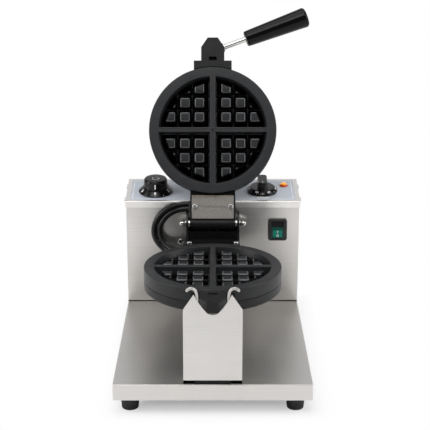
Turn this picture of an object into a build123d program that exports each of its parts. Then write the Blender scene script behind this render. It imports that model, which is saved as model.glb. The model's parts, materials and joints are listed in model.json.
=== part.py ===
from build123d import *
import math
import os

# Commercial rotary waffle maker, millimetres, +Z up, lid open.
# Working frame: X to the right, Y back from the base's front edge, Z up from the table.
# Every piece is moved at the end so that the origin is at the bottom centre of the whole object.

# Clearances
running_gap = 0.05
seat_gap = 0.3
hole_gap = 0.1

# Base
base_width = 260.0
base_depth = 379.0
tray_height = 22.0
tray_sheet = 1.2
tray_return = 34.0
tray_corner = 2.5
tray_edge = 1.2
bottom_plate_sheet = 1.0
bottom_plate_inset = 4.0
bottom_slot_length = 60.0
bottom_slot_width = 4.0
bottom_slot_pitch = 12.0
bottom_slot_count = 5
foot_height = 20.0
foot_top_radius = 13.0
foot_bottom_radius = 11.0
foot_inset_x = 21.0
foot_inset_y = 24.0
foot_recess_radius = 5.5
foot_recess_depth = 9.0

# Screws
m4_radius = 2.0
m4_head_radius = 3.8
m4_head_height = 2.4
m4_length = 7.0
foot_screw_length = 14.5
recess_width = 0.9
recess_length = 3.6
recess_depth = 1.2

# Housing
housing_front = 295.0
housing_height = 160.0
housing_slope = 7.55
shell_sheet = 1.2
shell_return = 12.0
shell_front_return = 8.0
cover_sheet = 1.0
cover_gap = 0.15
cover_skirt = 9.5
label_sheet = 0.3
label_margin_x = 5.0
label_margin_y = 4.0
louvre_count = 7
louvre_length = 70.0
louvre_width = 4.0
louvre_pitch = 10.0
louvre_height = 40.0
gland_x = 70.0
gland_z = 38.0
gland_bore_radius = 4.2
gland_body_radius = 9.5
gland_thread_radius = 7.9
gland_reach = 18.0

# Front support with its notch
support_front = 2.0
support_sheet = 1.5
support_width = 76.0
support_depth = 32.0
support_lift = 5.5
support_shoulder = 103.3
support_peak = 123.8
support_peak_half = 24.3
notch_half = 7.2
notch_low = 96.6
notch_edge = 98.7
notch_bow_half = 15.3
notch_bow = 108.6
support_foot = 15.0
wire_radius = 1.75
wire_half = 20.0
wire_low = 58.0
wire_shoulder = 121.0
wire_lean = 2.0
wire_rise = 129.0
wire_top = 132.6
wire_crown_half = 28.0
wire_tip_half = 34.0
wire_tip = 128.2
wire_crown_front = 2.1
wire_bend = 2.4
wire_shoulder_bend = 8.0
wire_low_bend = 5.0
clamp_low = 64.0
clamp_high = 76.0
clamp_depth = 6.0

# Rotating head: the parting plane of the two halves lies on the turning axis
axis_height = 113.0
plate_centre = 143.0
plate_radius = 95.3
grid_thickness = 18.4
rim_edge = 0.8
pocket_radius = 80.6
pocket_depth = 12.5
pocket_draft = 3.5
divider_long = 8.4
divider_cross = 7.6
cube_top = 13.3
cube_foot = 17.3
cube_first = 19.9
cube_pitch = 21.8
cube_drop = 3.0
cube_rows = 3
cube_circle = 69.5
ridge_width = 2.0
ridge_height = 3.0
casting_thickness = 14.0
casting_edge = 3.0
parting_gap = 0.2
element_radius = 58.0
element_tube = 4.0
element_gap = 0.2
element_sweep = 320.0
back_cover_radius = 74.0
back_cover_rise = 3.2
back_cover_sheet = 1.0
casting_screw_circle = 84.0

# Nose of each half
nose_tip = 140.0
nose_tip_half = 7.5
nose_half = 17.4
nose_taper_start = 125.5
nose_thickness = 13.1
nose_root_start = 99.5
nose_root_end = 103.5
nose_root_half = 28.4
nose_root_depth = 29.0
nose_slot_half = 6.0
nose_slot_start = 102.0
nose_slot_end = 111.0
nose_slot_depth = 8.0

# Hinge between the halves
hinge_back = 139.0
hinge_rise = 16.4
open_angle = 112.0
rod_radius = 3.0
knuckle_radius = 8.0
lug_half = 33.7
lug_front = 97.0
lug_low = 9.0
lug_high = 15.0
lug_neck_end = 101.0
lug_neck_high = 20.0
channel_half = 22.0
channel_start = 101.0
channel_end = 127.0
channel_depth = 3.0
heel_reach = 12.3
heel_inner = 16.0
heel_outer = 23.0
leaf_half = 31.2
leaf_end = 132.8
leaf_sheet = 2.4
leaf_screw_half = 27.0
leaf_screw_back = 114.8

# Yoke that carries the hinge and turns with the shaft
cheek_gap = 36.6
cheek_sheet = 3.0
cheek_lobe = 17.8
cheek_front = 118.5
yoke_sheet = 3.0
yoke_flange_front = 98.0
yoke_flange_top = 6.0
yoke_step = 132.0
yoke_step_top = 5.5
yoke_back = 147.0
yoke_back_low = 25.0
yoke_back_high = 8.0
yoke_screw_half = 34.5
yoke_screw_back = 114.0
nut_flat = 8.0
nut_hex = 4.0
nut_dome = 5.6
washer_radius = 5.5
washer_thickness = 1.0

# Hollow shaft and its bearings
shaft_radius = 14.0
shaft_bore = 9.0
shaft_end = 352.0
bush_radius = 17.0
bush_flange_radius = 21.0
bush_flange = 1.5
bush_length = 14.0
bearing_front = 304.0
bearing_back = 344.0
bearing_tube_radius = 21.0
bearing_half = 40.0
bearing_plate = 4.0
bearing_foot_sheet = 3.0
stop_disc_radius = 56.0
stop_disc_front = 297.2
stop_disc_sheet = 3.0
stop_screw_x = -48.6
stop_screw_z = 97.0
stop_screw_radius = 2.5
stop_head_radius = 4.1
stop_head_height = 2.6
shaft_nut_flat = 36.0
shaft_nut_width = 3.6

# Controls on the sloping top
timer_x = -87.0
timer_along = 37.0
timer_skirt_radius = 26.2
timer_skirt_neck = 19.5
timer_skirt_height = 7.0
timer_cap_radius = 17.8
timer_cap_top_radius = 17.0
timer_height = 22.0
thermostat_x = 75.7
thermostat_along = 38.0
dial_radius = 23.0
dial_face_radius = 18.5
dial_height = 8.0
bar_width = 16.0
bar_length = 38.0
bar_height = 20.5
knob_lift = 0.8
spindle_radius = 3.0
spindle_flat = 2.2
spindle_reach = 9.0
control_neck_radius = 5.0
control_neck_length = 8.0
timer_body_width = 42.0
timer_body_length = 44.0
timer_body_depth = 30.0
thermostat_body_width = 36.0
thermostat_body_length = 38.0
thermostat_body_depth = 24.0
index_width = 17.5
index_length = 3.4
index_sheet = 0.4
lamp_x = 109.5
lamp_along = 59.0
lamp_radius = 5.5
lamp_collar_radius = 6.6
lamp_height = 5.0
lamp_collar_height = 1.2
lamp_body_radius = 4.6
lamp_body_depth = 22.0

# Rocker switch
switch_x = 97.9
switch_z = 115.6
bezel_width = 28.4
bezel_height = 33.9
bezel_proud = 3.0
bezel_corner = 3.8
barrel_width = 24.0
barrel_height = 30.4
barrel_depth = 20.0
switch_well = 14.0
rocker_width = 18.4
rocker_radius = 13.4
rocker_gap = 0.3
rocker_tilt = 7.0
rocker_face = 1.6
trunnion_radius = 1.5
trunnion_length = 1.4

# Handle
handle_root = 120.5
handle_angle = 20.6
handle_lift = 8.0
handle_rod_radius = 4.0
handle_rod_start = 4.0
handle_rod_end = 120.0
handle_boss_radius = 6.6
handle_boss_end = 19.5
grip_start = 53.3
grip_length = 98.3
grip_small_radius = 11.7
grip_large_radius = 15.1
grip_edge = 2.0

# Hoses that carry the lid's leads past the hinge
hose_radius = 3.6
hose_bore_radius = 2.6
hose_lid_outer = 110.2
hose_lid_inner = 117.7
hose_height = 12.0
hose_lead = 11.0
hose_low_back = 130.6
hose_low_outer = 27.4
hose_low_inner = 19.0
lid_gland_length = 12.5
lower_gland_left = -44.0
lower_gland_front = 122.0
lower_gland_back = 138.0
lower_gland_low = 31.5
lower_lug_half = 39.5
lower_lug_thickness = 8.0
lower_lug_end = 138.0

# Fixed electrical pieces inside the housing
terminal_width = 60.0
terminal_depth = 16.0
terminal_height = 14.0
terminal_count = 5
terminal_x = 86.0
terminal_y = 350.0
stud_x = 35.0
stud_y = 362.0
stud_radius = 2.5
stud_height = 14.0
loom_radius = 1.6

# Levels and places that follow from the sizes above
sleeve_radius = shaft_bore - seat_gap
tray_bottom = foot_height + bottom_plate_sheet
base_top = tray_bottom + tray_height
axis_z = base_top + axis_height
hinge_y = plate_centre + hinge_back
hinge_z = axis_z + hinge_rise
half_base = base_width / 2
slope = math.radians(housing_slope)
panel_length = (base_depth - housing_front) / math.cos(slope)
half_thickness = grid_thickness + casting_thickness
cover_front = housing_front - cover_gap - cover_sheet
cover_back = base_depth + cover_gap + cover_sheet
cover_half = half_base + cover_gap + cover_sheet


def cover_level(y):
    """Height of the cover's top face at a depth y."""
    return base_top + housing_height + (y - housing_front) * math.tan(slope)


def block(x0, x1, y0, y1, z0, z1):
    centre = ((x0 + x1) / 2, (y0 + y1) / 2, (z0 + z1) / 2)
    return Pos(*centre) * Box(abs(x1 - x0), abs(y1 - y0), abs(z1 - z0))


def post(radius, x, y, z0, z1):
    """Round bar along Z."""
    return Pos(x, y, (z0 + z1) / 2) * Cylinder(radius, abs(z1 - z0))


def bar_y(radius, x, z, y0, y1):
    """Round bar along Y."""
    return Pos(x, (y0 + y1) / 2, z) * Rot(90, 0, 0) * Cylinder(radius, abs(y1 - y0))


def bar_x(radius, y, z, x0, x1):
    """Round bar along X."""
    return Pos((x0 + x1) / 2, y, z) * Rot(0, 90, 0) * Cylinder(radius, abs(x1 - x0))


def prism_x(points, x0, x1):
    """Outline in Y and Z, carried along X."""
    face = make_face(Polyline(*points, close=True))
    return extrude(Plane.YZ.offset(x0) * face, amount=x1 - x0)


def prism_z(points, z0, z1):
    """Outline in X and Y, carried along Z."""
    face = make_face(Polyline(*points, close=True))
    return extrude(Plane.XY.offset(z0) * face, amount=z1 - z0)


def pan_screw(head_radius, head_height, shank_radius, length):
    """Pan head above the plane z = 0 with a cross recess, shank below it."""
    head = Pos(0, 0, head_height / 2) * Cylinder(head_radius, head_height)
    head = fillet(head.edges().group_by(Axis.Z)[-1], head_height * 0.45)
    for turn in (0, 90):
        cut = Pos(0, 0, head_height) * Box(recess_length, recess_width, recess_depth * 2)
        head = head - Rot(0, 0, turn) * cut
    return head + post(shank_radius, 0, 0, -length, 0)


def solids_of(shapes):
    return Compound(children=[s for shape in shapes for s in shape.solids()])


def mirror_pair(shape):
    return [shape, mirror(shape, about=Plane.YZ)]


def foot_places():
    xs = (-half_base + foot_inset_x, half_base - foot_inset_x)
    ys = (foot_inset_y, base_depth - foot_inset_y)
    return [(x, y) for x in xs for y in ys]


def bottom_screw_places():
    x = half_base - tray_return / 2
    ys = (base_depth * 0.3, base_depth * 0.5, base_depth * 0.7)
    return [(side * x, y) for side in (-1, 1) for y in ys]


def support_screw_places():
    x = support_width / 2 - support_foot / 2
    ys = (support_front + 10, support_front + support_depth - 7)
    return [(side * x, y) for side in (-1, 1) for y in ys]


def bearing_bolt_places():
    y = (bearing_front + bearing_back) / 2
    return [(side * (bearing_half - 7), y) for side in (-1, 1)]


def base_tray():
    tray = block(-half_base, half_base, 0, base_depth, tray_bottom, base_top)
    tray = fillet(tray.edges().filter_by(Axis.Z), tray_corner)
    tray = fillet(tray.edges().group_by(Axis.Z)[-1], tray_edge)
    tray -= block(-half_base + tray_sheet, half_base - tray_sheet, tray_sheet, base_depth - tray_sheet,
                  tray_bottom + tray_sheet, base_top - tray_sheet)
    tray -= block(-half_base + tray_return, half_base - tray_return, tray_return,
                  base_depth - tray_return, tray_bottom - 1, tray_bottom + tray_sheet + 1)
    for x, y in foot_places() + bottom_screw_places():
        tray -= post(m4_radius + running_gap, x, y, tray_bottom - 1, tray_bottom + tray_sheet + 1)
    for x, y in support_screw_places() + bearing_bolt_places():
        tray -= post(m4_radius + running_gap, x, y, base_top - tray_sheet - 1, base_top + 1)
    return tray


def base_bottom_plate():
    edge = half_base - bottom_plate_inset
    plate = block(-edge, edge, bottom_plate_inset, base_depth - bottom_plate_inset, foot_height, tray_bottom)
    for x, y in foot_places() + bottom_screw_places():
        plate -= post(m4_radius + hole_gap, x, y, foot_height - 1, tray_bottom + 1)
    for row in (0.36, 0.64):
        for i in range(bottom_slot_count):
            y = base_depth * row + (i - (bottom_slot_count - 1) / 2) * bottom_slot_pitch
            slot = extrude(SlotOverall(bottom_slot_length, bottom_slot_width), amount=4)
            plate -= Pos(0, y, foot_height - 1) * slot
    return plate


def rubber_feet():
    foot = Pos(0, 0, foot_height / 2) * Cone(foot_bottom_radius, foot_top_radius, foot_height)
    foot = fillet(foot.edges().group_by(Axis.Z)[0], 1.0)
    foot -= post(foot_recess_radius, 0, 0, -1, foot_recess_depth)
    foot -= post(m4_radius + hole_gap, 0, 0, 0, foot_height + 1)
    return solids_of([Pos(x, y, 0) * foot for x, y in foot_places()])


def foot_screws():
    screw = Rot(180, 0, 0) * pan_screw(m4_head_radius, m4_head_height, m4_radius, foot_screw_length)
    return solids_of([Pos(x, y, foot_recess_depth) * screw for x, y in foot_places()])


def rear_screw_places():
    low = base_top + 14
    high = base_top + housing_height - 30
    x = half_base - shell_sheet - shell_return / 2
    return [(side * x, z) for side in (-1, 1) for z in (low, (low + high) / 2, high)]


def cover_screw_places():
    ys = (housing_front + 18, base_depth - 18)
    return [(y, cover_level(y) - cover_skirt * 0.55) for y in ys]


def case_screws():
    screw = pan_screw(m4_head_radius, m4_head_height, m4_radius, m4_length)
    pieces = []
    for x, y in bottom_screw_places():
        pieces.append(Pos(x, y, foot_height) * Rot(180, 0, 0) * screw)
    for x, z in rear_screw_places():
        pieces.append(Pos(x, base_depth, z) * Rot(-90, 0, 0) * screw)
    for y, z in cover_screw_places():
        for side in (-1, 1):
            pieces.append(Pos(side * cover_half, y, z) * Rot(0, side * 90, 0) * screw)
    return solids_of(pieces)


def support_screws():
    screw = pan_screw(m4_head_radius, m4_head_height, m4_radius, m4_length)
    return solids_of([Pos(x, y, base_top + support_sheet) * screw for x, y in support_screw_places()])


def notch_outline():
    """Front outline of the support in X and Z, bowed flanks and a shallow arc under the nose."""
    half = support_width / 2
    low = base_top + support_lift
    shoulder = base_top + support_shoulder
    peak = base_top + support_peak
    edge = base_top + notch_edge
    bow = base_top + notch_bow
    lines = [
        Line((-half, low), (half, low)),
        Line((half, low), (half, shoulder)),
        Line((half, shoulder), (support_peak_half, peak)),
        ThreePointArc((support_peak_half, peak), (notch_bow_half, bow), (notch_half, edge)),
        ThreePointArc((notch_half, edge), (0, base_top + notch_low), (-notch_half, edge)),
        ThreePointArc((-notch_half, edge), (-notch_bow_half, bow), (-support_peak_half, peak)),
        Line((-support_peak_half, peak), (-half, shoulder)),
        Line((-half, shoulder), (-half, low)),
    ]
    return make_face(lines)


def front_support():
    back = support_front + support_sheet
    front = extrude(Plane.XZ.offset(-back) * notch_outline(), amount=support_sheet)
    half = support_width / 2
    pieces = [front]
    for side in (-1, 1):
        inner = side * (half - support_sheet)
        deep = support_front + support_depth
        wall = prism_x([(back, base_top), (deep, base_top), (deep, base_top + support_shoulder - 25),
                        (back, base_top + support_shoulder)], min(inner, side * half), max(inner, side * half))
        foot = block(side * half, side * (half - support_foot), back + 2, deep, base_top,
                     base_top + support_sheet)
        pieces += [wall, foot]
    body = pieces[0]
    for piece in pieces[1:]:
        body += piece
    for x, y in support_screw_places():
        body -= post(m4_radius + hole_gap, x, y, base_top - 1, base_top + support_sheet + 1)
    return body


def wire_y():
    return support_front + support_sheet + seat_gap + wire_radius


def nose_latch_spring():
    """Two legs joined below the clamp; the hooks lean forward over the support, clear of the handle rod."""
    back = wire_y()
    right = [(wire_half, back, wire_low), (wire_half, back, wire_shoulder),
             (wire_half + wire_lean, (back + wire_crown_front) / 2, wire_rise),
             (wire_crown_half, wire_crown_front, wire_top), (wire_tip_half, wire_crown_front, wire_tip)]
    left = [(-x, y, z) for x, y, z in reversed(right)]
    points = [(x, y, base_top + z) for x, y, z in left + right]
    hook = [wire_bend, wire_bend, wire_shoulder_bend, wire_low_bend]
    route = FilletPolyline(*points, radius=hook + hook[::-1])
    section = Plane(origin=route @ 0, z_dir=route % 0) * Circle(wire_radius)
    return sweep(section, path=route)


def latch_spring_clamp():
    back = support_front + support_sheet
    half = wire_half + 8
    clamp = block(-half, half, back, back + clamp_depth, base_top + clamp_low, base_top + clamp_high)
    for side in (-1, 1):
        clamp -= post(wire_radius + running_gap, side * wire_half, wire_y(), base_top, base_top + clamp_high + 1)
    return clamp


def housing_profile(y0, y1, low, drop):
    """Side outline with the sloping top, lowered by drop."""
    return [(y0, low), (y1, low), (y1, cover_level(y1) - drop), (y0, cover_level(y0) - drop)]


def housing_shell():
    top_drop = cover_sheet + cover_gap
    shell = prism_x(housing_profile(housing_front, base_depth - shell_sheet, base_top, top_drop),
                    -half_base, half_base)
    inner = half_base - shell_sheet
    front = housing_front + shell_sheet
    back = base_depth - 2 * shell_sheet
    shell -= block(-inner, inner, front, back, base_top + shell_sheet, base_top + 2 * housing_height)
    lip = half_base - shell_return
    shell -= block(-lip, lip, housing_front + shell_front_return, base_depth + 1, base_top - 1,
                   base_top + 2 * housing_height)
    shell -= bar_y(shaft_radius + 2, 0, axis_z, housing_front - 1, front + 1)
    shell -= bar_y(stop_screw_radius + running_gap, stop_screw_x, base_top + stop_screw_z,
                   housing_front - 1, front + 1)
    barrel_x = barrel_width / 2 + hole_gap
    barrel_z = barrel_height / 2 + hole_gap
    shell -= block(switch_x - barrel_x, switch_x + barrel_x, housing_front - 1, front + 1,
                   base_top + switch_z - barrel_z, base_top + switch_z + barrel_z)
    for x, z in rear_screw_places():
        shell -= bar_y(m4_radius + running_gap, x, z, back - 1, base_depth + 1)
    for y, z in cover_screw_places():
        for side in (-1, 1):
            shell -= bar_x(m4_radius + running_gap, y, z, side * (inner - 1), side * (half_base + 1))
    return shell


def panel_plane():
    """Frame on the cover's top face: X across, Y up the slope, Z out of the face."""
    origin = (0, housing_front, base_top + housing_height)
    return Plane(origin=origin, x_dir=(1, 0, 0), z_dir=(0, -math.sin(slope), math.cos(slope)))


def on_panel(shape):
    return panel_plane().location * shape


def panel_hole(x, along, radius):
    return on_panel(post(radius, x, along, -6, 6))


def housing_top_cover():
    outer = prism_x([(cover_front, cover_level(cover_front) - cover_skirt),
                     (cover_back, cover_level(cover_back) - cover_skirt),
                     (cover_back, cover_level(cover_back)),
                     (cover_front, cover_level(cover_front))], -cover_half, cover_half)
    outer = fillet(outer.edges().filter_by(Axis.X).group_by(Axis.Y)[0].group_by(Axis.Z)[-1], 1.2)
    front = housing_front - cover_gap
    back = base_depth + cover_gap
    half = half_base + cover_gap
    inner = prism_x([(front, base_top), (back, base_top), (back, cover_level(back) - cover_sheet),
                     (front, cover_level(front) - cover_sheet)], -half, half)
    cover = outer - inner
    cover -= panel_hole(timer_x, timer_along, control_neck_radius + hole_gap)
    cover -= panel_hole(thermostat_x, thermostat_along, control_neck_radius + hole_gap)
    cover -= panel_hole(lamp_x, lamp_along, lamp_body_radius + hole_gap)
    for y, z in cover_screw_places():
        for side in (-1, 1):
            cover -= bar_x(m4_radius + hole_gap, y, z, side * (half_base - 1), side * (cover_half + 1))
    return cover


def control_panel_label():
    half = half_base - label_margin_x
    film = block(-half, half, label_margin_y, panel_length - label_margin_y, 0, label_sheet)
    film = fillet(film.edges().filter_by(Axis.Z), 3)
    for x, along in ((timer_x, timer_along), (thermostat_x, thermostat_along)):
        film -= post(control_neck_radius + 1, x, along, -1, 1)
    film -= post(lamp_collar_radius + hole_gap, lamp_x, lamp_along, -1, 1)
    return on_panel(film)


def housing_rear_panel():
    inner = half_base
    top_drop = cover_sheet + cover_gap
    panel = prism_x(housing_profile(base_depth - shell_sheet, base_depth, base_top, top_drop), -inner, inner)
    for row in range(louvre_count):
        for x in (-60, 20):
            z = base_top + louvre_height + row * louvre_pitch
            slot = extrude(Plane.XZ * SlotOverall(louvre_length, louvre_width), amount=8, both=True)
            panel -= Pos(x, base_depth, z) * slot
    panel -= bar_y(gland_thread_radius + hole_gap, gland_x, base_top + gland_z, base_depth - 3, base_depth + 3)
    for x, z in rear_screw_places():
        panel -= bar_y(m4_radius + hole_gap, x, z, base_depth - 3, base_depth + 3)
    return panel


def cable_gland():
    z = base_top + gland_z
    collar = bar_y(gland_body_radius, gland_x, z, base_depth, base_depth + gland_reach * 0.45)
    dome = Pos(gland_x, base_depth + gland_reach * 0.725, z) * Rot(-90, 0, 0) * Cone(
        gland_body_radius - 0.5, gland_bore_radius + 1.8, gland_reach * 0.55)
    thread = bar_y(gland_thread_radius, gland_x, z, base_depth - 11, base_depth)
    bore = bar_y(gland_bore_radius, gland_x, z, base_depth - 12, base_depth + gland_reach + 1)
    return collar + dome + thread - bore


def cable_gland_nut():
    z = base_top + gland_z
    back = base_depth - shell_sheet - running_gap
    ring = extrude(Plane.XZ * RegularPolygon(gland_body_radius + 1.5, 6), amount=5)
    ring = Pos(gland_x, back, z) * ring
    return ring - bar_y(gland_thread_radius + running_gap, gland_x, z, back - 8, back + 2)


def terminal_block():
    y0 = terminal_y - terminal_depth / 2
    y1 = terminal_y + terminal_depth / 2
    x0 = terminal_x - terminal_width / 2
    x1 = terminal_x + terminal_width / 2
    body = block(x0, x1, y0, y1, base_top, base_top + terminal_height)
    pitch = terminal_width / terminal_count
    for i in range(terminal_count):
        x = x0 + (i + 0.5) * pitch
        body -= post(2.2, x, terminal_y, base_top + 6, base_top + terminal_height + 1)
        body -= bar_y(2.2, x, base_top + 4.5, y0 - 1, y1 + 1)
    return body


def earth_stud():
    stud = post(stud_radius, stud_x, stud_y, base_top, base_top + stud_height)
    for level in (4, 9):
        nut = extrude(RegularPolygon(4.6, 6), amount=3.2)
        stud += Pos(stud_x, stud_y, base_top + level) * nut
    return stud


def control_switch(width, length, depth):
    """Spring timer or thermostat under the cover, with a neck that guides the spindle."""
    top = -cover_sheet - seat_gap
    body = block(-width / 2, width / 2, -length / 2, length / 2, top - depth, top)
    body = fillet(body.edges().filter_by(Axis.Z), 3)
    neck = post(control_neck_radius, 0, 0, top, top + cover_sheet + seat_gap)
    bore = post(spindle_radius + running_gap, 0, 0, top - control_neck_length, top + 6)
    return body + neck - bore


def timer_switch():
    shape = control_switch(timer_body_width, timer_body_length, timer_body_depth)
    return on_panel(Pos(timer_x, timer_along, 0) * shape)


def thermostat_body():
    shape = control_switch(thermostat_body_width, thermostat_body_length, thermostat_body_depth)
    return on_panel(Pos(thermostat_x, thermostat_along, 0) * shape)


def control_spindle(reach):
    """Round spindle with a flat on its upper end."""
    low = -cover_sheet - seat_gap - control_neck_length + 0.5
    spindle = post(spindle_radius, 0, 0, low, reach)
    flat = block(spindle_flat, spindle_radius + 1, -5, 5, knob_lift + 2, reach + 1)
    return spindle - flat


def spindle_socket(reach):
    """Hole in a knob that matches the flatted spindle."""
    socket = post(spindle_radius + 0.02, 0, 0, -1, reach)
    flat = block(spindle_flat + 0.02, spindle_radius + 1, -5, 5, knob_lift + 2, reach + 1)
    return socket - flat


def timer_spindle():
    return on_panel(Pos(timer_x, timer_along, 0) * control_spindle(spindle_reach))


def thermostat_spindle():
    return on_panel(Pos(thermostat_x, thermostat_along, 0) * control_spindle(spindle_reach))


def timer_knob():
    low = knob_lift
    outline = [(0, low), (timer_skirt_radius, low), (timer_skirt_radius, low + 1.6),
               (timer_skirt_neck, low + timer_skirt_height), (timer_cap_radius, low + timer_skirt_height),
               (timer_cap_top_radius, timer_height - 1.6), (timer_cap_top_radius - 1.8, timer_height),
               (0, timer_height)]
    face = Plane.XZ * make_face(Polyline(*outline, close=True))
    knob = revolve(face, axis=Axis.Z)
    knob -= spindle_socket(spindle_reach + 0.3)
    return on_panel(Pos(timer_x, timer_along, 0) * knob)


def thermostat_knob():
    low = knob_lift
    outline = [(0, low), (dial_radius, low), (dial_radius, low + 3), (dial_face_radius, dial_height),
               (0, dial_height)]
    knob = revolve(Plane.XZ * make_face(Polyline(*outline, close=True)), axis=Axis.Z)
    grip = block(-bar_width / 2, bar_width / 2, -bar_length / 2, bar_length / 2, dial_height - 1, bar_height)
    grip = fillet(grip.edges().filter_by(Axis.Z), bar_width / 2 - 0.5)
    grip = fillet(grip.edges().group_by(Axis.Z)[-1], 2)
    knob = knob + grip - spindle_socket(spindle_reach + 0.3)
    return on_panel(Pos(thermostat_x, thermostat_along, 0) * knob)


def thermostat_index_plate():
    y = thermostat_along - dial_radius - 1.4
    plate = block(-index_width / 2, index_width / 2, y - index_length / 2, y + index_length / 2,
                  label_sheet, label_sheet + index_sheet)
    plate = fillet(plate.edges().filter_by(Axis.Z), 1.2)
    return on_panel(Pos(thermostat_x, 0, 0) * plate)


def indicator_lamp_lens():
    collar = post(lamp_collar_radius, 0, 0, 0, lamp_collar_height)
    dome = post(lamp_radius, 0, 0, lamp_collar_height, lamp_height)
    dome = fillet(dome.edges().group_by(Axis.Z)[-1], lamp_radius * 0.5)
    return on_panel(Pos(lamp_x, lamp_along, 0) * (collar + dome))


def indicator_lamp_body():
    body = post(lamp_body_radius, 0, 0, -lamp_body_depth, 0)
    ring = post(lamp_collar_radius, 0, 0, -cover_sheet - 3, -cover_sheet - running_gap)
    return on_panel(Pos(lamp_x, lamp_along, 0) * (body + ring))


def switch_frame_solid():
    x, z = switch_x, base_top + switch_z
    front = housing_front - bezel_proud
    bezel = block(x - bezel_width / 2, x + bezel_width / 2, front, housing_front,
                  z - bezel_height / 2, z + bezel_height / 2)
    bezel = fillet(bezel.edges().filter_by(Axis.Y), bezel_corner)
    bezel = fillet(bezel.edges().group_by(Axis.Y)[0], 0.9)
    barrel = block(x - barrel_width / 2, x + barrel_width / 2, housing_front, housing_front + barrel_depth,
                   z - barrel_height / 2, z + barrel_height / 2)
    return bezel + barrel


def rocker_pivot():
    return (switch_x, housing_front + 1.0, base_top + switch_z)


def power_switch_frame():
    x, y, z = rocker_pivot()
    half = rocker_width / 2 + rocker_gap
    tall = rocker_radius + rocker_gap
    well = block(x - half, x + half, housing_front - bezel_proud - 1, housing_front + switch_well,
                 z - tall, z + tall)
    pin = bar_x(trunnion_radius + running_gap, y, z, x - half - trunnion_length, x + half + trunnion_length)
    return switch_frame_solid() - well - pin


def power_switch_rocker():
    """Two flat faces that meet at the middle, cut to a circle about the pivot, pressed at the top."""
    x, y, z = rocker_pivot()
    reach = rocker_radius
    face = housing_front - bezel_proud - rocker_face - y
    profile = [(6, -reach), (6, reach), (face + 2.6, reach), (face, 0), (face + 2.6, -reach)]
    body = prism_x(profile, -rocker_width / 2, rocker_width / 2)
    round_off = bar_x(reach, 0, 0, -rocker_width, rocker_width)
    body = body & round_off
    half = rocker_width / 2 + rocker_gap + trunnion_length - running_gap
    body += bar_x(trunnion_radius, 0, 0, -half, half)
    return Pos(x, y, z) * Rot(-rocker_tilt, 0, 0) * body


def in_head(shape):
    """From the plate's own frame, centre of the parting plane, to the working frame."""
    return Pos(0, plate_centre, axis_z) * shape


def in_lid(shape):
    """The same for the lid, swung open about the hinge."""
    swing = Pos(0, hinge_back, hinge_rise) * Rot(-open_angle, 0, 0) * Pos(0, -hinge_back, -hinge_rise)
    return in_head(swing * shape)


def waffle_quarter():
    """Cubes and low ridges of one quarter, tops below the rim, for a plate whose face looks up."""
    floor = -pocket_depth
    rise = pocket_depth - cube_drop
    taper = math.degrees(math.atan((cube_foot - cube_top) / 2 / rise))
    pieces = None
    for i in range(cube_rows):
        for j in range(cube_rows):
            x = cube_first + i * cube_pitch
            y = cube_first + j * cube_pitch
            if math.hypot(x - cube_top / 2, y - cube_top / 2) > cube_circle:
                continue
            cube = extrude(Rectangle(cube_foot, cube_foot), amount=rise, taper=taper)
            cube = Pos(x, y, floor) * cube
            pieces = cube if pieces is None else pieces + cube
    for k in range(cube_rows - 1):
        at = cube_first + (k + 0.5) * cube_pitch
        for turned in (False, True):
            x0, x1 = (at - ridge_width / 2, at + ridge_width / 2)
            y0, y1 = (divider_cross / 2, cube_circle + 6)
            ridge = block(y0, y1, x0, x1, floor, floor + ridge_height) if turned else block(
                x0, x1, y0, y1, floor, floor + ridge_height)
            pieces = pieces + ridge
    limit = Pos(0, 0, floor + rise / 2) * Cone(cube_circle + rise * 0.45, cube_circle, rise)
    return pieces & limit


def grid_plate():
    """Round plate with four pockets of waffle cubes, face up, face just under the parting plane."""
    plate = post(plate_radius, 0, 0, -grid_thickness, -parting_gap)
    plate = fillet(plate.edges().group_by(Axis.Z)[-1], rim_edge)
    pocket = Pos(0, 0, -pocket_depth / 2) * Cone(pocket_radius - pocket_draft, pocket_radius, pocket_depth)
    reach = pocket_radius + 5
    pocket -= block(-divider_long / 2, divider_long / 2, -reach, reach, -pocket_depth - 1, 1)
    pocket -= block(-reach, reach, -divider_cross / 2, divider_cross / 2, -pocket_depth - 1, 1)
    plate = plate - pocket
    quarter = waffle_quarter()
    half = quarter + mirror(quarter, about=Plane.YZ)
    plate = plate + half + mirror(half, about=Plane.XZ)
    for x, y in casting_screw_places():
        plate -= post(m4_radius + running_gap, x, y, -grid_thickness - 1, -grid_thickness + 8)
    return plate


def casting_screw_places():
    places = []
    for turn in (45, 135, 225, 315):
        angle = math.radians(turn)
        places.append((casting_screw_circle * math.cos(angle), casting_screw_circle * math.sin(angle)))
    return places


def element_groove(tube):
    """Ring in which the tubular heater lies, open at the rear for its ends."""
    z = -grid_thickness - element_tube - element_gap
    ring = Pos(0, 0, z) * Torus(element_radius, tube)
    return ring


def heating_element():
    z = -grid_thickness - element_tube - element_gap
    gap = (360 - element_sweep) / 2
    start = 90 + gap
    section = Plane(origin=(element_radius, 0, z), z_dir=(0, 1, 0)) * Circle(element_tube)
    ring = revolve(section, axis=Axis.Z, revolution_arc=element_sweep)
    return Rot(0, 0, start) * ring


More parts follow.
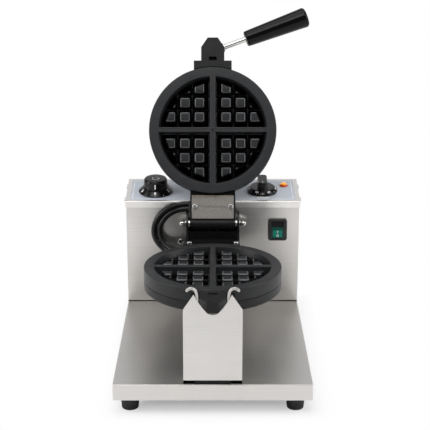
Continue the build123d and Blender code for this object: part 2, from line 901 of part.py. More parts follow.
def nose():
    """Root block, tab with chamfered corners and a blind slot, face up."""
    face = -parting_gap
    low = -nose_root_depth
    root = block(-nose_root_half, nose_root_half, -nose_root_end, -nose_root_start, low, face)
    neck = block(-nose_root_half, nose_root_half, -nose_root_end, -plate_radius + 12, low,
                 -grid_thickness - running_gap)
    tab = prism_z([(-nose_half, -nose_root_start), (-nose_half, -nose_taper_start),
                   (-nose_tip_half, -nose_tip), (nose_tip_half, -nose_tip),
                   (nose_half, -nose_taper_start), (nose_half, -nose_root_start)], -nose_thickness, face)
    rib = prism_x([(-nose_root_end, low), (-nose_root_end, -nose_thickness),
                   (-nose_taper_start + 4, -nose_thickness)], -nose_half * 0.6, nose_half * 0.6)
    slot = block(-nose_slot_half, nose_slot_half, -nose_slot_end, -nose_slot_start,
                 face - nose_slot_depth, face + 1)
    slot = fillet(slot.edges().filter_by(Axis.Z), 2)
    return root + neck + tab + rib - slot


def casting_disc():
    """Heater casting behind a grid plate, face up, with the heater's groove."""
    top = -grid_thickness - running_gap
    disc = post(plate_radius, 0, 0, -half_thickness, top)
    disc = chamfer(disc.edges().group_by(Axis.Z)[0], casting_edge)
    disc = disc - element_groove(element_tube + element_gap)
    return disc


def casting_holes():
    cuts = None
    for x, y in casting_screw_places():
        hole = post(m4_radius + hole_gap, x, y, -half_thickness - 1, -grid_thickness + 1)
        cuts = hole if cuts is None else cuts + hole
    return cuts


def lower_heater_casting():
    top = -yoke_flange_top - yoke_sheet - running_gap
    low = top - lower_lug_thickness
    neck = block(-lower_lug_half, lower_lug_half, plate_radius - 18, lug_front + 6, -nose_root_depth,
                 -grid_thickness - running_gap)
    rise = block(-lower_lug_half, lower_lug_half, lug_front, lug_front + 6, -nose_root_depth, top)
    lug = block(-lower_lug_half, lower_lug_half, lug_front, lower_lug_end, low, top)
    casting = casting_disc() + nose() + neck + rise + lug - casting_holes()
    for side in (-1, 1):
        casting -= post(m4_radius + running_gap, side * yoke_screw_half, yoke_screw_back, low - 1, top + 1)
    return in_head(casting)


def lid_heater_casting():
    """Built face up, turned over about X so that its face looks down on the lower half, then swung open."""
    body = Rot(180, 0, 0) * (casting_disc() - casting_holes())
    body += mirror(nose(), about=Plane.XY)
    body += handle_place() * Cylinder(handle_boss_radius, handle_boss_end - 2, align=(
        Align.CENTER, Align.CENTER, Align.MIN))
    body -= handle_bore()
    neck = block(-lug_half, lug_half, plate_radius - 18, lug_neck_end, grid_thickness + running_gap,
                 lug_neck_high + 3)
    neck = neck - block(-lug_half - 1, lug_half + 1, lug_front, 2 * lug_neck_end, lug_neck_high, 60)
    rise = block(-lug_half, lug_half, lug_front, lug_neck_end, lug_low, lug_neck_high)
    lug = block(-lug_half, lug_half, lug_front, hinge_back, lug_low, lug_high)
    knuckle = bar_x(knuckle_radius, hinge_back, hinge_rise, -lug_half, lug_half)
    channel = block(-channel_half, channel_half, channel_start, channel_end, lug_low - 1,
                    lug_low + channel_depth)
    body = body + neck + rise + lug + knuckle + stop_heel() - channel
    body -= bar_x(rod_radius + running_gap, hinge_back, hinge_rise, -lug_half - 1, lug_half + 1)
    for side in (-1, 1):
        body -= post(m4_radius + running_gap, side * leaf_screw_half, leaf_screw_back, lug_low - 1, lug_high + 1)
    return in_lid(body)


def stop_heel():
    """Two short blocks on the knuckle that rest on the yoke's back plate when the lid is open."""
    back = yoke_back - hinge_back
    low = yoke_back_high - hinge_rise + seat_gap
    tip = math.sqrt(heel_reach ** 2 - low ** 2)
    outline = [(0, low + 5), (back - 4, low), (tip, low), (heel_reach, low + 5)]
    heel = prism_x(outline, heel_inner, heel_outer)
    heel = heel & bar_x(heel_reach, 0, 0, heel_inner, heel_outer)
    heel = heel + mirror(heel, about=Plane.YZ)
    return Pos(0, hinge_back, hinge_rise) * Rot(open_angle, 0, 0) * heel


def lower_grid_plate():
    return in_head(grid_plate())


def lid_grid_plate():
    return in_lid(Rot(180, 0, 0) * grid_plate())


def lower_heating_element():
    return in_head(heating_element())


def lid_heating_element():
    return in_lid(Rot(180, 0, 0) * Rot(0, 0, 180) * heating_element())


def back_cover():
    """Shallow pressed cover over the casting's back, face down."""
    top = -half_thickness
    outer = Pos(0, 0, top - back_cover_rise / 2) * Cone(
        back_cover_radius - 2, back_cover_radius, back_cover_rise)
    inner = Pos(0, 0, top - (back_cover_rise - back_cover_sheet) / 2) * Cone(
        back_cover_radius - 2 - back_cover_sheet, back_cover_radius - back_cover_sheet,
        back_cover_rise - back_cover_sheet)
    return outer - inner


def lower_bottom_cover():
    return in_head(back_cover())


def lid_back_cover():
    return in_lid(Rot(180, 0, 0) * back_cover())


def half_screws():
    """Screws that hold a casting to its grid plate, heads on the casting's back."""
    reach = casting_thickness + 6
    screw = Rot(180, 0, 0) * pan_screw(m4_head_radius, m4_head_height, m4_radius, reach)
    return [Pos(x, y, -half_thickness) * screw for x, y in casting_screw_places()]


def lower_casting_screws():
    return solids_of([in_head(s) for s in half_screws()])


def lid_casting_screws():
    return solids_of([in_lid(Rot(180, 0, 0) * s) for s in half_screws()])


def lid_hinge_leaf():
    """Steel plate over the lid's lead channel, on the face towards the parting plane."""
    top = lug_low - running_gap
    leaf = block(-leaf_half, leaf_half, lug_front + 0.5, leaf_end, top - leaf_sheet, top)
    for side in (-1, 1):
        leaf -= post(m4_radius + hole_gap, side * leaf_screw_half, leaf_screw_back, 0, lug_low + 1)
    return in_lid(leaf)


def leaf_screws():
    level = lug_low - running_gap - leaf_sheet
    screw = Rot(180, 0, 0) * pan_screw(m4_head_radius, m4_head_height, m4_radius, m4_length)
    return solids_of([in_lid(Pos(side * leaf_screw_half, leaf_screw_back, level) * screw)
                      for side in (-1, 1)])


def handle_place():
    """Frame at the handle's root in the closed lid, Z along the rod."""
    angle = math.radians(handle_angle)
    direction = (math.cos(angle), -math.sin(angle), 0)
    return Plane(origin=(0, -handle_root, handle_lift), x_dir=(0, 0, 1), z_dir=direction).location


def along_handle(radius, start, end):
    return handle_place() * Pos(0, 0, (start + end) / 2) * Cylinder(radius, end - start)


def handle_bore():
    return along_handle(handle_rod_radius, handle_rod_start, handle_boss_end + 5)


def handle_rod():
    return in_lid(along_handle(handle_rod_radius, handle_rod_start, handle_rod_end))


def handle_grip():
    grip = handle_place() * Pos(0, 0, grip_start + grip_length / 2) * Cone(
        grip_small_radius, grip_large_radius, grip_length)
    grip = fillet(grip.edges().filter_by(GeomType.CIRCLE), grip_edge)
    grip -= along_handle(handle_rod_radius, grip_start - 1, handle_rod_end)
    return in_lid(grip)


def yoke():
    """Bent and welded bracket: flange on the lower half, step, back plate and two cheeks."""
    out = cheek_gap + cheek_sheet
    top = -yoke_flange_top
    low = top - yoke_sheet
    flange = block(-out, out, yoke_flange_front, yoke_step + yoke_sheet, low, top)
    step = block(-out, out, yoke_step, yoke_step + yoke_sheet, low, yoke_step_top)
    back = block(-out, out, yoke_back, yoke_back + yoke_sheet, -yoke_back_low, yoke_back_high)
    body = flange + step + back
    for side in (-1, 1):
        x0, x1 = sorted((side * cheek_gap, side * out))
        cheek = prism_x([(cheek_front, low), (cheek_front, top + 1),
                         (hinge_back - cheek_lobe, yoke_step_top), (hinge_back - cheek_lobe, hinge_rise),
                         (yoke_back + yoke_sheet, hinge_rise), (yoke_back + yoke_sheet, low)], x0, x1)
        lobe = bar_x(cheek_lobe, hinge_back, hinge_rise, x0, x1)
        lobe &= block(x0 - 1, x1 + 1, 0, yoke_back + yoke_sheet, hinge_rise - 1, 80)
        body = body + cheek + lobe
        body -= bar_x(rod_radius + running_gap, hinge_back, hinge_rise, x0 - 1, x1 + 1)
        body -= post(m4_radius + hole_gap, side * yoke_screw_half, yoke_screw_back, low - 1, top + 1)
    body -= bar_y(shaft_bore, 0, 0, yoke_back - 1, yoke_back + yoke_sheet + 1)
    return in_head(body)


def yoke_screws():
    screw = pan_screw(m4_head_radius, m4_head_height, m4_radius, m4_length + yoke_sheet)
    return solids_of([in_head(Pos(side * yoke_screw_half, yoke_screw_back, -yoke_flange_top) * screw)
                      for side in (-1, 1)])


def hinge_rod():
    end = cheek_gap + cheek_sheet + washer_thickness + nut_hex + 2
    return in_head(bar_x(rod_radius, hinge_back, hinge_rise, -end, end))


def hinge_acorn_nuts():
    start = cheek_gap + cheek_sheet + washer_thickness
    hexagon = extrude(RegularPolygon(nut_flat / 2, 6, major_radius=False), amount=nut_hex)
    dome = Pos(0, 0, nut_hex + nut_dome / 2) * Cylinder(nut_flat / 2 - 0.3, nut_dome)
    dome = fillet(dome.edges().group_by(Axis.Z)[-1], nut_flat / 2 - 0.6)
    nut = hexagon + dome - post(rod_radius + 0.01, 0, 0, -1, nut_hex + 2.1)
    place = Pos(start, hinge_back, hinge_rise) * Rot(0, 90, 0)
    return solids_of([in_head(s) for s in mirror_pair(place * nut)])


def hinge_washers():
    """One washer outside each cheek and one between each cheek and the knuckle."""
    pieces = []
    outside = cheek_gap + cheek_sheet
    inside = cheek_gap - seat_gap
    for x0, x1 in ((outside, outside + washer_thickness), (lug_half + seat_gap, inside + seat_gap)):
        ring = bar_x(washer_radius, hinge_back, hinge_rise, x0, x1)
        ring -= bar_x(rod_radius + running_gap, hinge_back, hinge_rise, x0 - 1, x1 + 1)
        pieces += mirror_pair(ring)
    return solids_of([in_head(s) for s in pieces])


def rotary_shaft():
    start = plate_centre + yoke_back + yoke_sheet
    shaft = bar_y(shaft_radius, 0, axis_z, start, shaft_end)
    return shaft - bar_y(shaft_bore, 0, axis_z, start - 1, shaft_end + 1)


def lead_sleeve():
    start = plate_centre + yoke_back - 4
    sleeve = bar_y(sleeve_radius, 0, axis_z, start, shaft_end + 8)
    return sleeve - bar_y(sleeve_radius - 1.2, 0, axis_z, start - 1, shaft_end + 9)


def shaft_bushes():
    """Flanged plain bushes at both ends of the bearing tube."""
    pieces = []
    for face, way in ((bearing_front, 1), (bearing_back, -1)):
        flange = bar_y(bush_flange_radius, 0, axis_z, face - way * bush_flange, face)
        sleeve = bar_y(bush_radius, 0, axis_z, face - way * bush_flange, face + way * bush_length)
        bore = bar_y(shaft_radius + running_gap, 0, axis_z, face - way * 9, face + way * (bush_length + 9))
        pieces.append(flange + sleeve - bore)
    return solids_of(pieces)


def bearing_housing():
    tube = bar_y(bearing_tube_radius, 0, axis_z, bearing_front, bearing_back)
    body = tube
    for y0 in (bearing_front, bearing_back - bearing_plate):
        body += block(-bearing_half, bearing_half, y0, y0 + bearing_plate, base_top, axis_z)
    body += block(-bearing_half, bearing_half, bearing_front, bearing_back, base_top,
                  base_top + bearing_foot_sheet)
    body -= bar_y(bush_radius + 0.01, 0, axis_z, bearing_front - 1, bearing_back + 1)
    for x, y in bearing_bolt_places():
        body -= post(m4_radius + hole_gap, x, y, base_top - 1, base_top + bearing_foot_sheet + 1)
    return body


def bearing_bolts():
    screw = pan_screw(m4_head_radius, m4_head_height, m4_radius, m4_length)
    return solids_of([Pos(x, y, base_top + bearing_foot_sheet) * screw for x, y in bearing_bolt_places()])


def stop_disc():
    """Half disc on the shaft whose two edges meet the stop screw half a turn apart."""
    dz = stop_screw_z - axis_height
    pin = math.degrees(math.atan2(dz, stop_screw_x)) + 360
    reach = math.hypot(dz, stop_screw_x)
    play = math.degrees(math.asin((stop_screw_radius + seat_gap) / reach))
    start = pin + play
    y1 = stop_disc_front + stop_disc_sheet
    disc = bar_y(stop_disc_radius, 0, axis_z, stop_disc_front, y1)
    far = 3 * stop_disc_radius
    first = math.radians(start)
    last = math.radians(start + 180 - 2 * play)
    middle = (first + last) / 2
    cut = [(0, 0), (far * math.cos(first), far * math.sin(first)),
           (-far * math.cos(middle), -far * math.sin(middle)), (far * math.cos(last), far * math.sin(last))]
    face = make_face(Polyline(*cut, close=True))
    wedge = extrude(Plane.XZ.offset(-y1 - 1) * face, amount=stop_disc_sheet + 2)
    disc = disc - Pos(0, 0, axis_z) * wedge
    disc += bar_y(shaft_radius + 6, 0, axis_z, stop_disc_front, y1)
    return disc - bar_y(shaft_radius + 0.01, 0, axis_z, stop_disc_front - 1, y1 + 1)


def rotation_stop_screw():
    length = stop_disc_front + stop_disc_sheet - housing_front + 1
    screw = pan_screw(stop_head_radius, stop_head_height, stop_screw_radius, length)
    return Pos(stop_screw_x, housing_front, base_top + stop_screw_z) * Rot(90, 0, 0) * screw


def shaft_nuts():
    """Ring nut behind the rear bush."""
    y = bearing_back + bush_flange + seat_gap
    ring = extrude(Plane.XZ * RegularPolygon(shaft_nut_flat / 2, 6, major_radius=False), amount=-shaft_nut_width)
    ring = Pos(0, y, axis_z) * ring
    return ring - bar_y(shaft_radius + 0.01, 0, axis_z, y - 1, y + shaft_nut_width + 1)


def lid_hose_gland():
    """Plate on the left side of the lid's lug in which both hoses end."""
    x1 = -lug_half
    x0 = -cheek_gap + 0.4
    middle = (hose_lid_outer + hose_lid_inner) / 2
    plate = block(x0, x1, middle - lid_gland_length * 0.65, middle + lid_gland_length * 0.65,
                  hose_height - hose_radius, hose_height + hose_radius)
    for back in (hose_lid_outer, hose_lid_inner):
        plate -= bar_x(hose_bore_radius, back, hose_height, x0 - 1, x1 + 1)
    return in_lid(plate)


def lower_hose_gland():
    """Block on the left side of the lower lug in which the hoses end."""
    top = -yoke_flange_top - yoke_sheet - 2
    body = block(lower_gland_left, -lower_lug_half, lower_gland_front, lower_gland_back,
                 -lower_gland_low, top)
    for points in (outer_route(), inner_route()):
        x, y, z = points[-1]
        body -= bar_x(hose_bore_radius, y - plate_centre, z - axis_z, lower_gland_left - 1, -lower_lug_half + 1)
    return in_head(body)


def lid_hose_end(back):
    """Where a hose leaves the open lid's gland."""
    a = back - hinge_back
    b = hose_height - hinge_rise
    turn = math.radians(-open_angle)
    y = hinge_y + a * math.cos(turn) - b * math.sin(turn)
    z = hinge_z + a * math.sin(turn) + b * math.cos(turn)
    return (-cheek_gap + 0.4 - running_gap, y, z)


def lower_hose_end(back, drop):
    """Where a hose enters the gland on the lower lug."""
    return (lower_gland_left - running_gap, plate_centre + back, axis_z - drop)


def hose_route(start, bends, end):
    """Points of a hose: level out of each gland, and the loop's bends above the base's top."""
    middle = [(x, y, base_top + z) for x, y, z in bends]
    first = (start[0] - hose_lead, start[1], start[2])
    last = (end[0] - hose_lead, end[1], end[2])
    return [start, first] + middle + [last, end]


def outer_route():
    bends = [(-63.5, 288.2, 152.7), (-78.6, 287.0, 141.8), (-88.6, 286.2, 125.0), (-88.2, 284.8, 106.3),
             (-78.0, 281.8, 91.8), (-65.5, 277.0, 86.0)]
    return hose_route(lid_hose_end(hose_lid_outer), bends, lower_hose_end(hose_low_back, hose_low_outer))


def inner_route():
    bends = [(-60.5, 286.0, 145.8), (-72.5, 285.6, 136.5), (-80.2, 284.8, 122.0), (-79.0, 283.8, 107.0),
             (-69.0, 280.6, 96.4)]
    return hose_route(lid_hose_end(hose_lid_inner), bends, lower_hose_end(hose_low_back, hose_low_inner))


def turn_radii(points):
    """Each arc's radius: 0.45 of the shorter run over the tangent of half the turn."""
    radii = []
    for before, at, after in zip(points, points[1:], points[2:]):
        first = Vector(*at) - Vector(*before)
        second = Vector(*after) - Vector(*at)
        half = math.radians(first.get_angle(second)) / 2
        radii.append(0.45 * min(first.length, second.length) / math.tan(half))
    return radii


def hose(name, points):
    radii = turn_radii(points)
    route = FilletPolyline(*points, radius=radii)
    section = Plane(origin=route @ 0, z_dir=route % 0) * Circle(hose_radius)
    tube = sweep(section, path=route)
    straight = math.pi * hose_radius ** 2 * route.length
    print(name, "radii", [round(r, 1) for r in radii], "length", round(route.length, 1),
          "volume ratio", round(tube.volume / straight, 4))
    return tube


def hose_outer():
    return hose("hose_outer", outer_route())


def hose_inner():
    return hose("hose_inner", inner_route())


def wiring_loom():
    """Leads between the switch, the timer, the thermostat, the lamp and the terminal block."""
    x, y, z = rocker_pivot()
    back = housing_front + barrel_depth
    top = base_top + terminal_height
    pitch = terminal_width / terminal_count
    first = terminal_x - terminal_width / 2 + pitch / 2
    under = base_top + housing_height - timer_body_depth - 12
    runs = [
        [(x - 6, back, z + 4), (x - 6, back + 14, z + 2), (first, terminal_y, top + 26), (first, terminal_y, top)],
        [(x + 6, back, z - 6), (x + 6, back + 12, z - 8), (first + 2 * pitch, terminal_y, top + 22),
         (first + 2 * pitch, terminal_y, top)],
        [(thermostat_x - 9, thermostat_along + housing_front, under + 14),
         (thermostat_x - 9, thermostat_along + housing_front, under - 8),
         (first + pitch, terminal_y + 1, top + 24), (first + pitch, terminal_y + 1, top)],
    ]
    pieces = []
    for points in runs:
        route = FilletPolyline(*points, radius=6)
        section = Plane(origin=route @ 0, z_dir=route % 0) * Circle(loom_radius)
        pieces.append(sweep(section, path=route))
    return solids_of(pieces)


makers = [
    base_tray, base_bottom_plate, rubber_feet, foot_screws, case_screws, support_screws, front_support,
    nose_latch_spring, latch_spring_clamp, housing_shell, housing_top_cover, control_panel_label,
    housing_rear_panel, cable_gland, cable_gland_nut, terminal_block, earth_stud, timer_switch,
    thermostat_body, timer_spindle, thermostat_spindle, timer_knob, thermostat_knob,
    thermostat_index_plate, indicator_lamp_lens, indicator_lamp_body, power_switch_frame,
    power_switch_rocker, lower_grid_plate, lower_heater_casting, lower_heating_element,
    lower_bottom_cover, lower_casting_screws, lid_grid_plate, lid_heater_casting, lid_heating_element,
    lid_back_cover, lid_casting_screws, lid_hinge_leaf, leaf_screws, handle_rod, handle_grip, yoke,
    yoke_screws, hinge_rod, hinge_acorn_nuts, hinge_washers, rotary_shaft, lead_sleeve, shaft_bushes,
    bearing_housing, bearing_bolts, stop_disc, rotation_stop_screw, shaft_nuts, lid_hose_gland,
    lower_hose_gland, hose_outer, hose_inner, wiring_loom,
]

pieces = {maker.__name__: maker() for maker in makers}
boxes = [piece.bounding_box() for piece in pieces.values()]
middle_x = (min(b.min.X for b in boxes) + max(b.max.X for b in boxes)) / 2
middle_y = (min(b.min.Y for b in boxes) + max(b.max.Y for b in boxes)) / 2
origin = Pos(-middle_x, -middle_y, 0)

os.makedirs("parts", exist_ok=True)
for name, piece in pieces.items():
    export_step(origin * piece, "parts/" + name + ".step")

rocker = rocker_pivot()
timer_axis = panel_plane().location * Pos(timer_x, timer_along, 0)
thermostat_axis = panel_plane().location * Pos(thermostat_x, thermostat_along, 0)
print("shift", round(-middle_x, 3), round(-middle_y, 3))
print("lid hinge", (-middle_x, hinge_y - middle_y, hinge_z))
print("head turn", (-middle_x, plate_centre - middle_y, axis_z))
print("rocker", (rocker[0] - middle_x, rocker[1] - middle_y, rocker[2]))
print("timer", tuple(timer_axis.position - Vector(middle_x, middle_y, 0)))
print("thermostat", tuple(thermostat_axis.position - Vector(middle_x, middle_y, 0)))
print("panel normal", (0, round(-math.sin(slope), 5), round(math.cos(slope), 5)))
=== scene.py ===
"""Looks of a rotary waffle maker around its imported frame. Lengths are in mm, in shaders and lights in m."""

import json
import math

import bpy
import numpy as np
from bpy.props import FloatProperty, FloatVectorProperty, IntProperty, PointerProperty
from bpy.types import NodeSocket, Operator, Panel, PropertyGroup
from mathutils import Matrix


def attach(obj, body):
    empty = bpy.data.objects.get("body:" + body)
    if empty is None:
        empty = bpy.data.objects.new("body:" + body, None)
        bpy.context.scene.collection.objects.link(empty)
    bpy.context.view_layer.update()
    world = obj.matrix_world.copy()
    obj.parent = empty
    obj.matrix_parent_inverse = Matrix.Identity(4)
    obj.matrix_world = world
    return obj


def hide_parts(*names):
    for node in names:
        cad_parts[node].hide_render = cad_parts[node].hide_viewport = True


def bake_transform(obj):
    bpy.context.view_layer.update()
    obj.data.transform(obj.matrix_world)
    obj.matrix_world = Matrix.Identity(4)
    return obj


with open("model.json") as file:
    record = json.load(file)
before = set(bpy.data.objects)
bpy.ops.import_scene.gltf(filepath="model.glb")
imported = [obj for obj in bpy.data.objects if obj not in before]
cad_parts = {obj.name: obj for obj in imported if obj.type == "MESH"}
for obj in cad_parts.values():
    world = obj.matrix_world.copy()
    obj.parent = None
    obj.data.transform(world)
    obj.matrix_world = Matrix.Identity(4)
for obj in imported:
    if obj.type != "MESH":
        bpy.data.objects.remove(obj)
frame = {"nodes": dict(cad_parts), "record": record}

bl_info = {
    "name": "Rotary Waffle Maker",
    "version": (1, 0, 0),
    "blender": (4, 5, 0),
    "location": "View3D > Sidebar > Waffle Maker",
    "description": "Builds the visible pieces, finishes and studio of a rotary waffle maker",
    "category": "Add Mesh",
}

MM = 0.001
SHIFT = (-6.534, -203.028, 0.0)
BASE_TOP = 43.0
BASE_HALF = (130.0, 203.0)
PLATE_MIDDLE = (0.0, 143.0, 156.0)
HINGE_BACK = 139.0
HINGE_UP = 16.4
OPEN_ANGLE = 112.0
PANEL_FRONT = (0.0, 295.0, 203.0)
PANEL_SLOPE = 7.55


# Frames and meshes


def moved(x, y, z):
    """Translation in the row frame of a point given in the source's working frame."""
    return Matrix.Translation(((x + SHIFT[0]) * MM, (y + SHIFT[1]) * MM, (z + SHIFT[2]) * MM))


def shifted(x, y, z):
    """Translation by a step in millimetres."""
    return Matrix.Translation((x * MM, y * MM, z * MM))


def turned(degrees, axis):
    """Rotation about an axis through the origin."""
    return Matrix.Rotation(math.radians(degrees), 4, axis)


def plate_frame():
    """Centre of the lower plate's parting plane, Z up."""
    return moved(*PLATE_MIDDLE)


def lid_frame():
    """The same plane swung about the hinge by the open angle."""
    return (plate_frame() @ shifted(0, HINGE_BACK, HINGE_UP) @ turned(-OPEN_ANGLE, "X")
            @ shifted(0, -HINGE_BACK, -HINGE_UP))


def panel_frame():
    """Sloping top of the housing: X across, Y up the slope, Z out of the face."""
    return moved(*PANEL_FRONT) @ turned(PANEL_SLOPE, "X")


def placed(points, matrix):
    """Points in millimetres, as an n by 3 array, carried to the row frame in metres."""
    p = np.asarray(points, float).reshape(-1, 3) * MM
    m = np.array(matrix)
    return p @ m[:3, :3].T + m[:3, 3]


def at_level(outline, z, x=0.0, y=0.0):
    """Flat outline set at a height and moved across."""
    outline = np.asarray(outline, float)
    return np.column_stack([outline[:, 0] + x, outline[:, 1] + y, np.full(len(outline), z)])


def join(parts):
    """One vertex array and face list from several."""
    verts, faces, start = [], [], 0
    for v, f in parts:
        verts.append(v)
        faces += [tuple(i + start for i in face) for face in f]
        start += len(v)
    return np.vstack(verts), faces


def even_normals(obj):
    """Large flat faces keep their own normal beside small rounded edges."""
    modifier = obj.modifiers.new("normals", "WEIGHTED_NORMAL")
    modifier.weight = 100
    modifier.keep_sharp = True


def new_object(name, verts, faces, made, sharp=40.0):
    """Object at the origin from vertices in metres, smooth but for edges sharper than an angle in degrees."""
    mesh = bpy.data.meshes.new(name)
    mesh.from_pydata(verts.tolist(), [], faces)
    mesh.polygons.foreach_set("use_smooth", [True] * len(mesh.polygons))
    mesh.set_sharp_from_angle(angle=math.radians(sharp))
    mesh.materials.append(made)
    mesh.update()
    obj = bpy.data.objects.new(name, mesh)
    bpy.context.scene.collection.objects.link(obj)
    return obj


def build(name, parts, matrix, body, slot, replaces=(), look=None, sharp=40.0, level=None):
    """Makes one object from closed shells in millimetres and lets it ride on a body.

    look names its finish where that isn't the slot's own. level, where given, is a function that gives each
    point the value stored with it.
    """
    verts, faces = join(parts)
    obj = new_object(name, placed(verts, matrix), faces, material(look or slot), sharp)
    if level is not None:
        stored = obj.data.attributes.new("level", "FLOAT", "POINT")
        stored.data.foreach_set("value", level(verts).astype(np.float32))
    even_normals(obj)
    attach(obj, body)
    if replaces:
        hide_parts(*replaces)
    return obj


def shell(rows, closed_rows=False):
    """Skin over a grid of points, rows by places in a row.

    Each row closes on itself. The rows close on each other, or else the first and last are capped.
    """
    rows = np.asarray(rows, float)
    n, m = rows.shape[:2]
    at = np.arange(n * m).reshape(n, m)
    ahead, above = np.roll(at, -1, axis=1), np.roll(at, -1, axis=0)
    quads = np.stack([at, ahead, np.roll(above, -1, axis=1), above], axis=-1)
    quads = quads if closed_rows else quads[:-1]
    faces = [tuple(q) for q in quads.reshape(-1, 4).tolist()]
    if not closed_rows:
        faces += [tuple(at[0, ::-1].tolist()), tuple(at[-1].tolist())]
    return rows.reshape(-1, 3), faces


def lathe(profile, count=96):
    """Solid of revolution: each point's radius times the cosine and sine of even turns, at its height."""
    r, h = np.asarray(profile, float).T[:, :, None]
    angle = np.linspace(0, 2 * np.pi, count, endpoint=False)
    return shell(np.stack([r * np.cos(angle), r * np.sin(angle), h + 0 * angle], axis=-1))


def ring_lathe(profile, count=192, stretch=(1.0, 1.0)):
    """Ring of revolution about Z from a closed profile in radius and height, stretched along X and Y."""
    r, h = np.asarray(profile, float).T
    angle = np.linspace(0, 2 * np.pi, count, endpoint=False)[:, None]
    x, y = stretch[0] * r * np.cos(angle), stretch[1] * r * np.sin(angle)
    return shell(np.stack([x, y, h + 0 * angle], axis=-1), closed_rows=True)


def rounded_section(width, height, radius, steps=5):
    """Outline of a rounded rectangle, anticlockwise: a quarter circle round the centre of each corner."""
    corner = np.arange(4)[:, None]
    angle = np.radians(90 * corner + 90 * np.arange(steps + 1) / steps)
    side_x = np.array([1, -1, -1, 1])[corner]
    side_y = np.array([1, 1, -1, -1])[corner]
    x = side_x * (width / 2 - radius) + radius * np.cos(angle)
    y = side_y * (height / 2 - radius) + radius * np.sin(angle)
    return np.column_stack([x.ravel(), y.ravel()])


def square_section(half_x, half_y):
    """Outline of a plain rectangle about the origin, anticlockwise."""
    return np.array([(1, 1), (-1, 1), (-1, -1), (1, -1)]) * (half_x, half_y)


def plate(width, height, radius, low, high, edge=0.0, x=0.0, y=0.0):
    """Rounded plate between two levels, its upper edge drawn in along a quarter circle."""
    levels = [(low, 0.0), (high - edge, 0.0)]
    if edge:
        levels += [(high - edge * (1 - math.sin(t)), edge * (1 - math.cos(t))) for t in (0.5, 1.05)]
        levels.append((high, edge))
    rows = []
    for z, inset in levels:
        outline = rounded_section(width - 2 * inset, height - 2 * inset, max(radius - inset, 0.05))
        rows.append(at_level(outline, z, x, y))
    return shell(rows)


def tube(path, radius, sides=16, tips=True):
    """Round bar along a path: circles in frames carried along the tangent, with domed tips."""
    path = np.asarray(path, float)
    tangent = np.gradient(path, axis=0)
    tangent /= np.linalg.norm(tangent, axis=1)[:, None]
    side = np.cross(tangent[0], (0.0, 1.0, 0.0))
    if np.linalg.norm(side) < 0.1:
        side = np.cross(tangent[0], (1.0, 0.0, 0.0))
    side /= np.linalg.norm(side)
    angle = np.linspace(0, 2 * np.pi, sides, endpoint=False)
    stations = [(point, along, 1.0) for point, along in zip(path, tangent)]
    if tips:
        dome = [(math.sin(t), math.cos(t)) for t in (1.45, 1.1, 0.7, 0.35)]
        head = [(path[0] - tangent[0] * radius * s, tangent[0], c) for s, c in dome]
        tail = [(path[-1] + tangent[-1] * radius * s, tangent[-1], c) for s, c in reversed(dome)]
        stations = head + stations + tail
    rows = []
    for centre, along, scale in stations:
        side = side - along * np.dot(side, along)
        side /= np.linalg.norm(side)
        other = np.cross(along, side)
        circle = np.outer(np.cos(angle), side) + np.outer(np.sin(angle), other)
        rows.append(centre + radius * scale * circle)
    return shell(rows)


def height_slab(steps, level, floor):
    """Closed block on a square grid: its upper face is the height function and its lower face is flat."""
    x, y = np.meshgrid(steps, steps, indexing="ij")
    top = np.column_stack([x.ravel(), y.ravel(), level(x, y).ravel()])
    at = np.arange(len(top)).reshape(x.shape)
    quads = np.stack([at[:-1, :-1], at[1:, :-1], at[1:, 1:], at[:-1, 1:]], axis=-1).reshape(-1, 4)
    loop = np.concatenate([at[:-1, 0], at[-1, :-1], at[:0:-1, -1], at[0, :0:-1]])
    low = top[loop].copy()
    low[:, 2] = floor
    foot = len(top) + np.arange(len(loop))
    walls = np.stack([loop, foot, np.roll(foot, -1), np.roll(loop, -1)], axis=-1)
    faces = [tuple(q) for q in np.vstack([quads, walls]).tolist()]
    faces.append(tuple(foot[::-1].tolist()))
    return np.vstack([top, low]), faces


def curve_mesh(curve):
    """Vertices and faces of a curve or text as a mesh; the curve itself is removed."""
    holder = bpy.data.objects.new(curve.name, curve)
    mesh = bpy.data.meshes.new_from_object(holder)
    verts = np.empty(3 * len(mesh.vertices), np.float32)
    mesh.vertices.foreach_get("co", verts)
    faces = [tuple(p.vertices) for p in mesh.polygons]
    bpy.data.objects.remove(holder)
    bpy.data.curves.remove(curve)
    bpy.data.meshes.remove(mesh)
    return verts.reshape(-1, 3).astype(float), faces


def smooth_path(points, count):
    """Points on the quadratic spline whose control points are given, ends included."""
    curve = bpy.data.curves.new("route", "CURVE")
    curve.dimensions = "3D"
    spline = curve.splines.new("NURBS")
    spline.points.add(len(points) - 1)
    for point, co in zip(spline.points, points):
        point.co = (*co, 1.0)
    spline.order_u = 3
    spline.use_endpoint_u = True
    spline.resolution_u = max(2, count // len(points))
    return curve_mesh(curve)[0]


def in_mm(name, description, default):
    """Setting for a length in millimetres."""
    return FloatProperty(name=name, description=description + ", in mm", default=default, precision=2)


def colour(name, description, default):
    """Setting for a colour, in linear red, green and blue."""
    return FloatVectorProperty(name=name, description=description, default=default, subtype="COLOR",
                               min=0, max=1)


# Material helpers


def link_in(tree, kind, values=(), **settings):
    """One node with its settings, and values or links on its inputs by name or place."""
    made = tree.nodes.new(kind)
    for key, value in settings.items():
        setattr(made, key, value)
    for key, value in dict(values).items():
        if isinstance(value, NodeSocket):
            tree.links.new(value, made.inputs[key])
        else:
            made.inputs[key].default_value = value
    return made


def feed(shader, **sockets):
    """Links or values on a shader's inputs, their names with underscores for spaces."""
    for key, value in sockets.items():
        socket = shader.inputs[key.replace("_", " ")]
        if isinstance(value, NodeSocket):
            shader.id_data.links.new(value, socket)
        else:
            socket.default_value = value


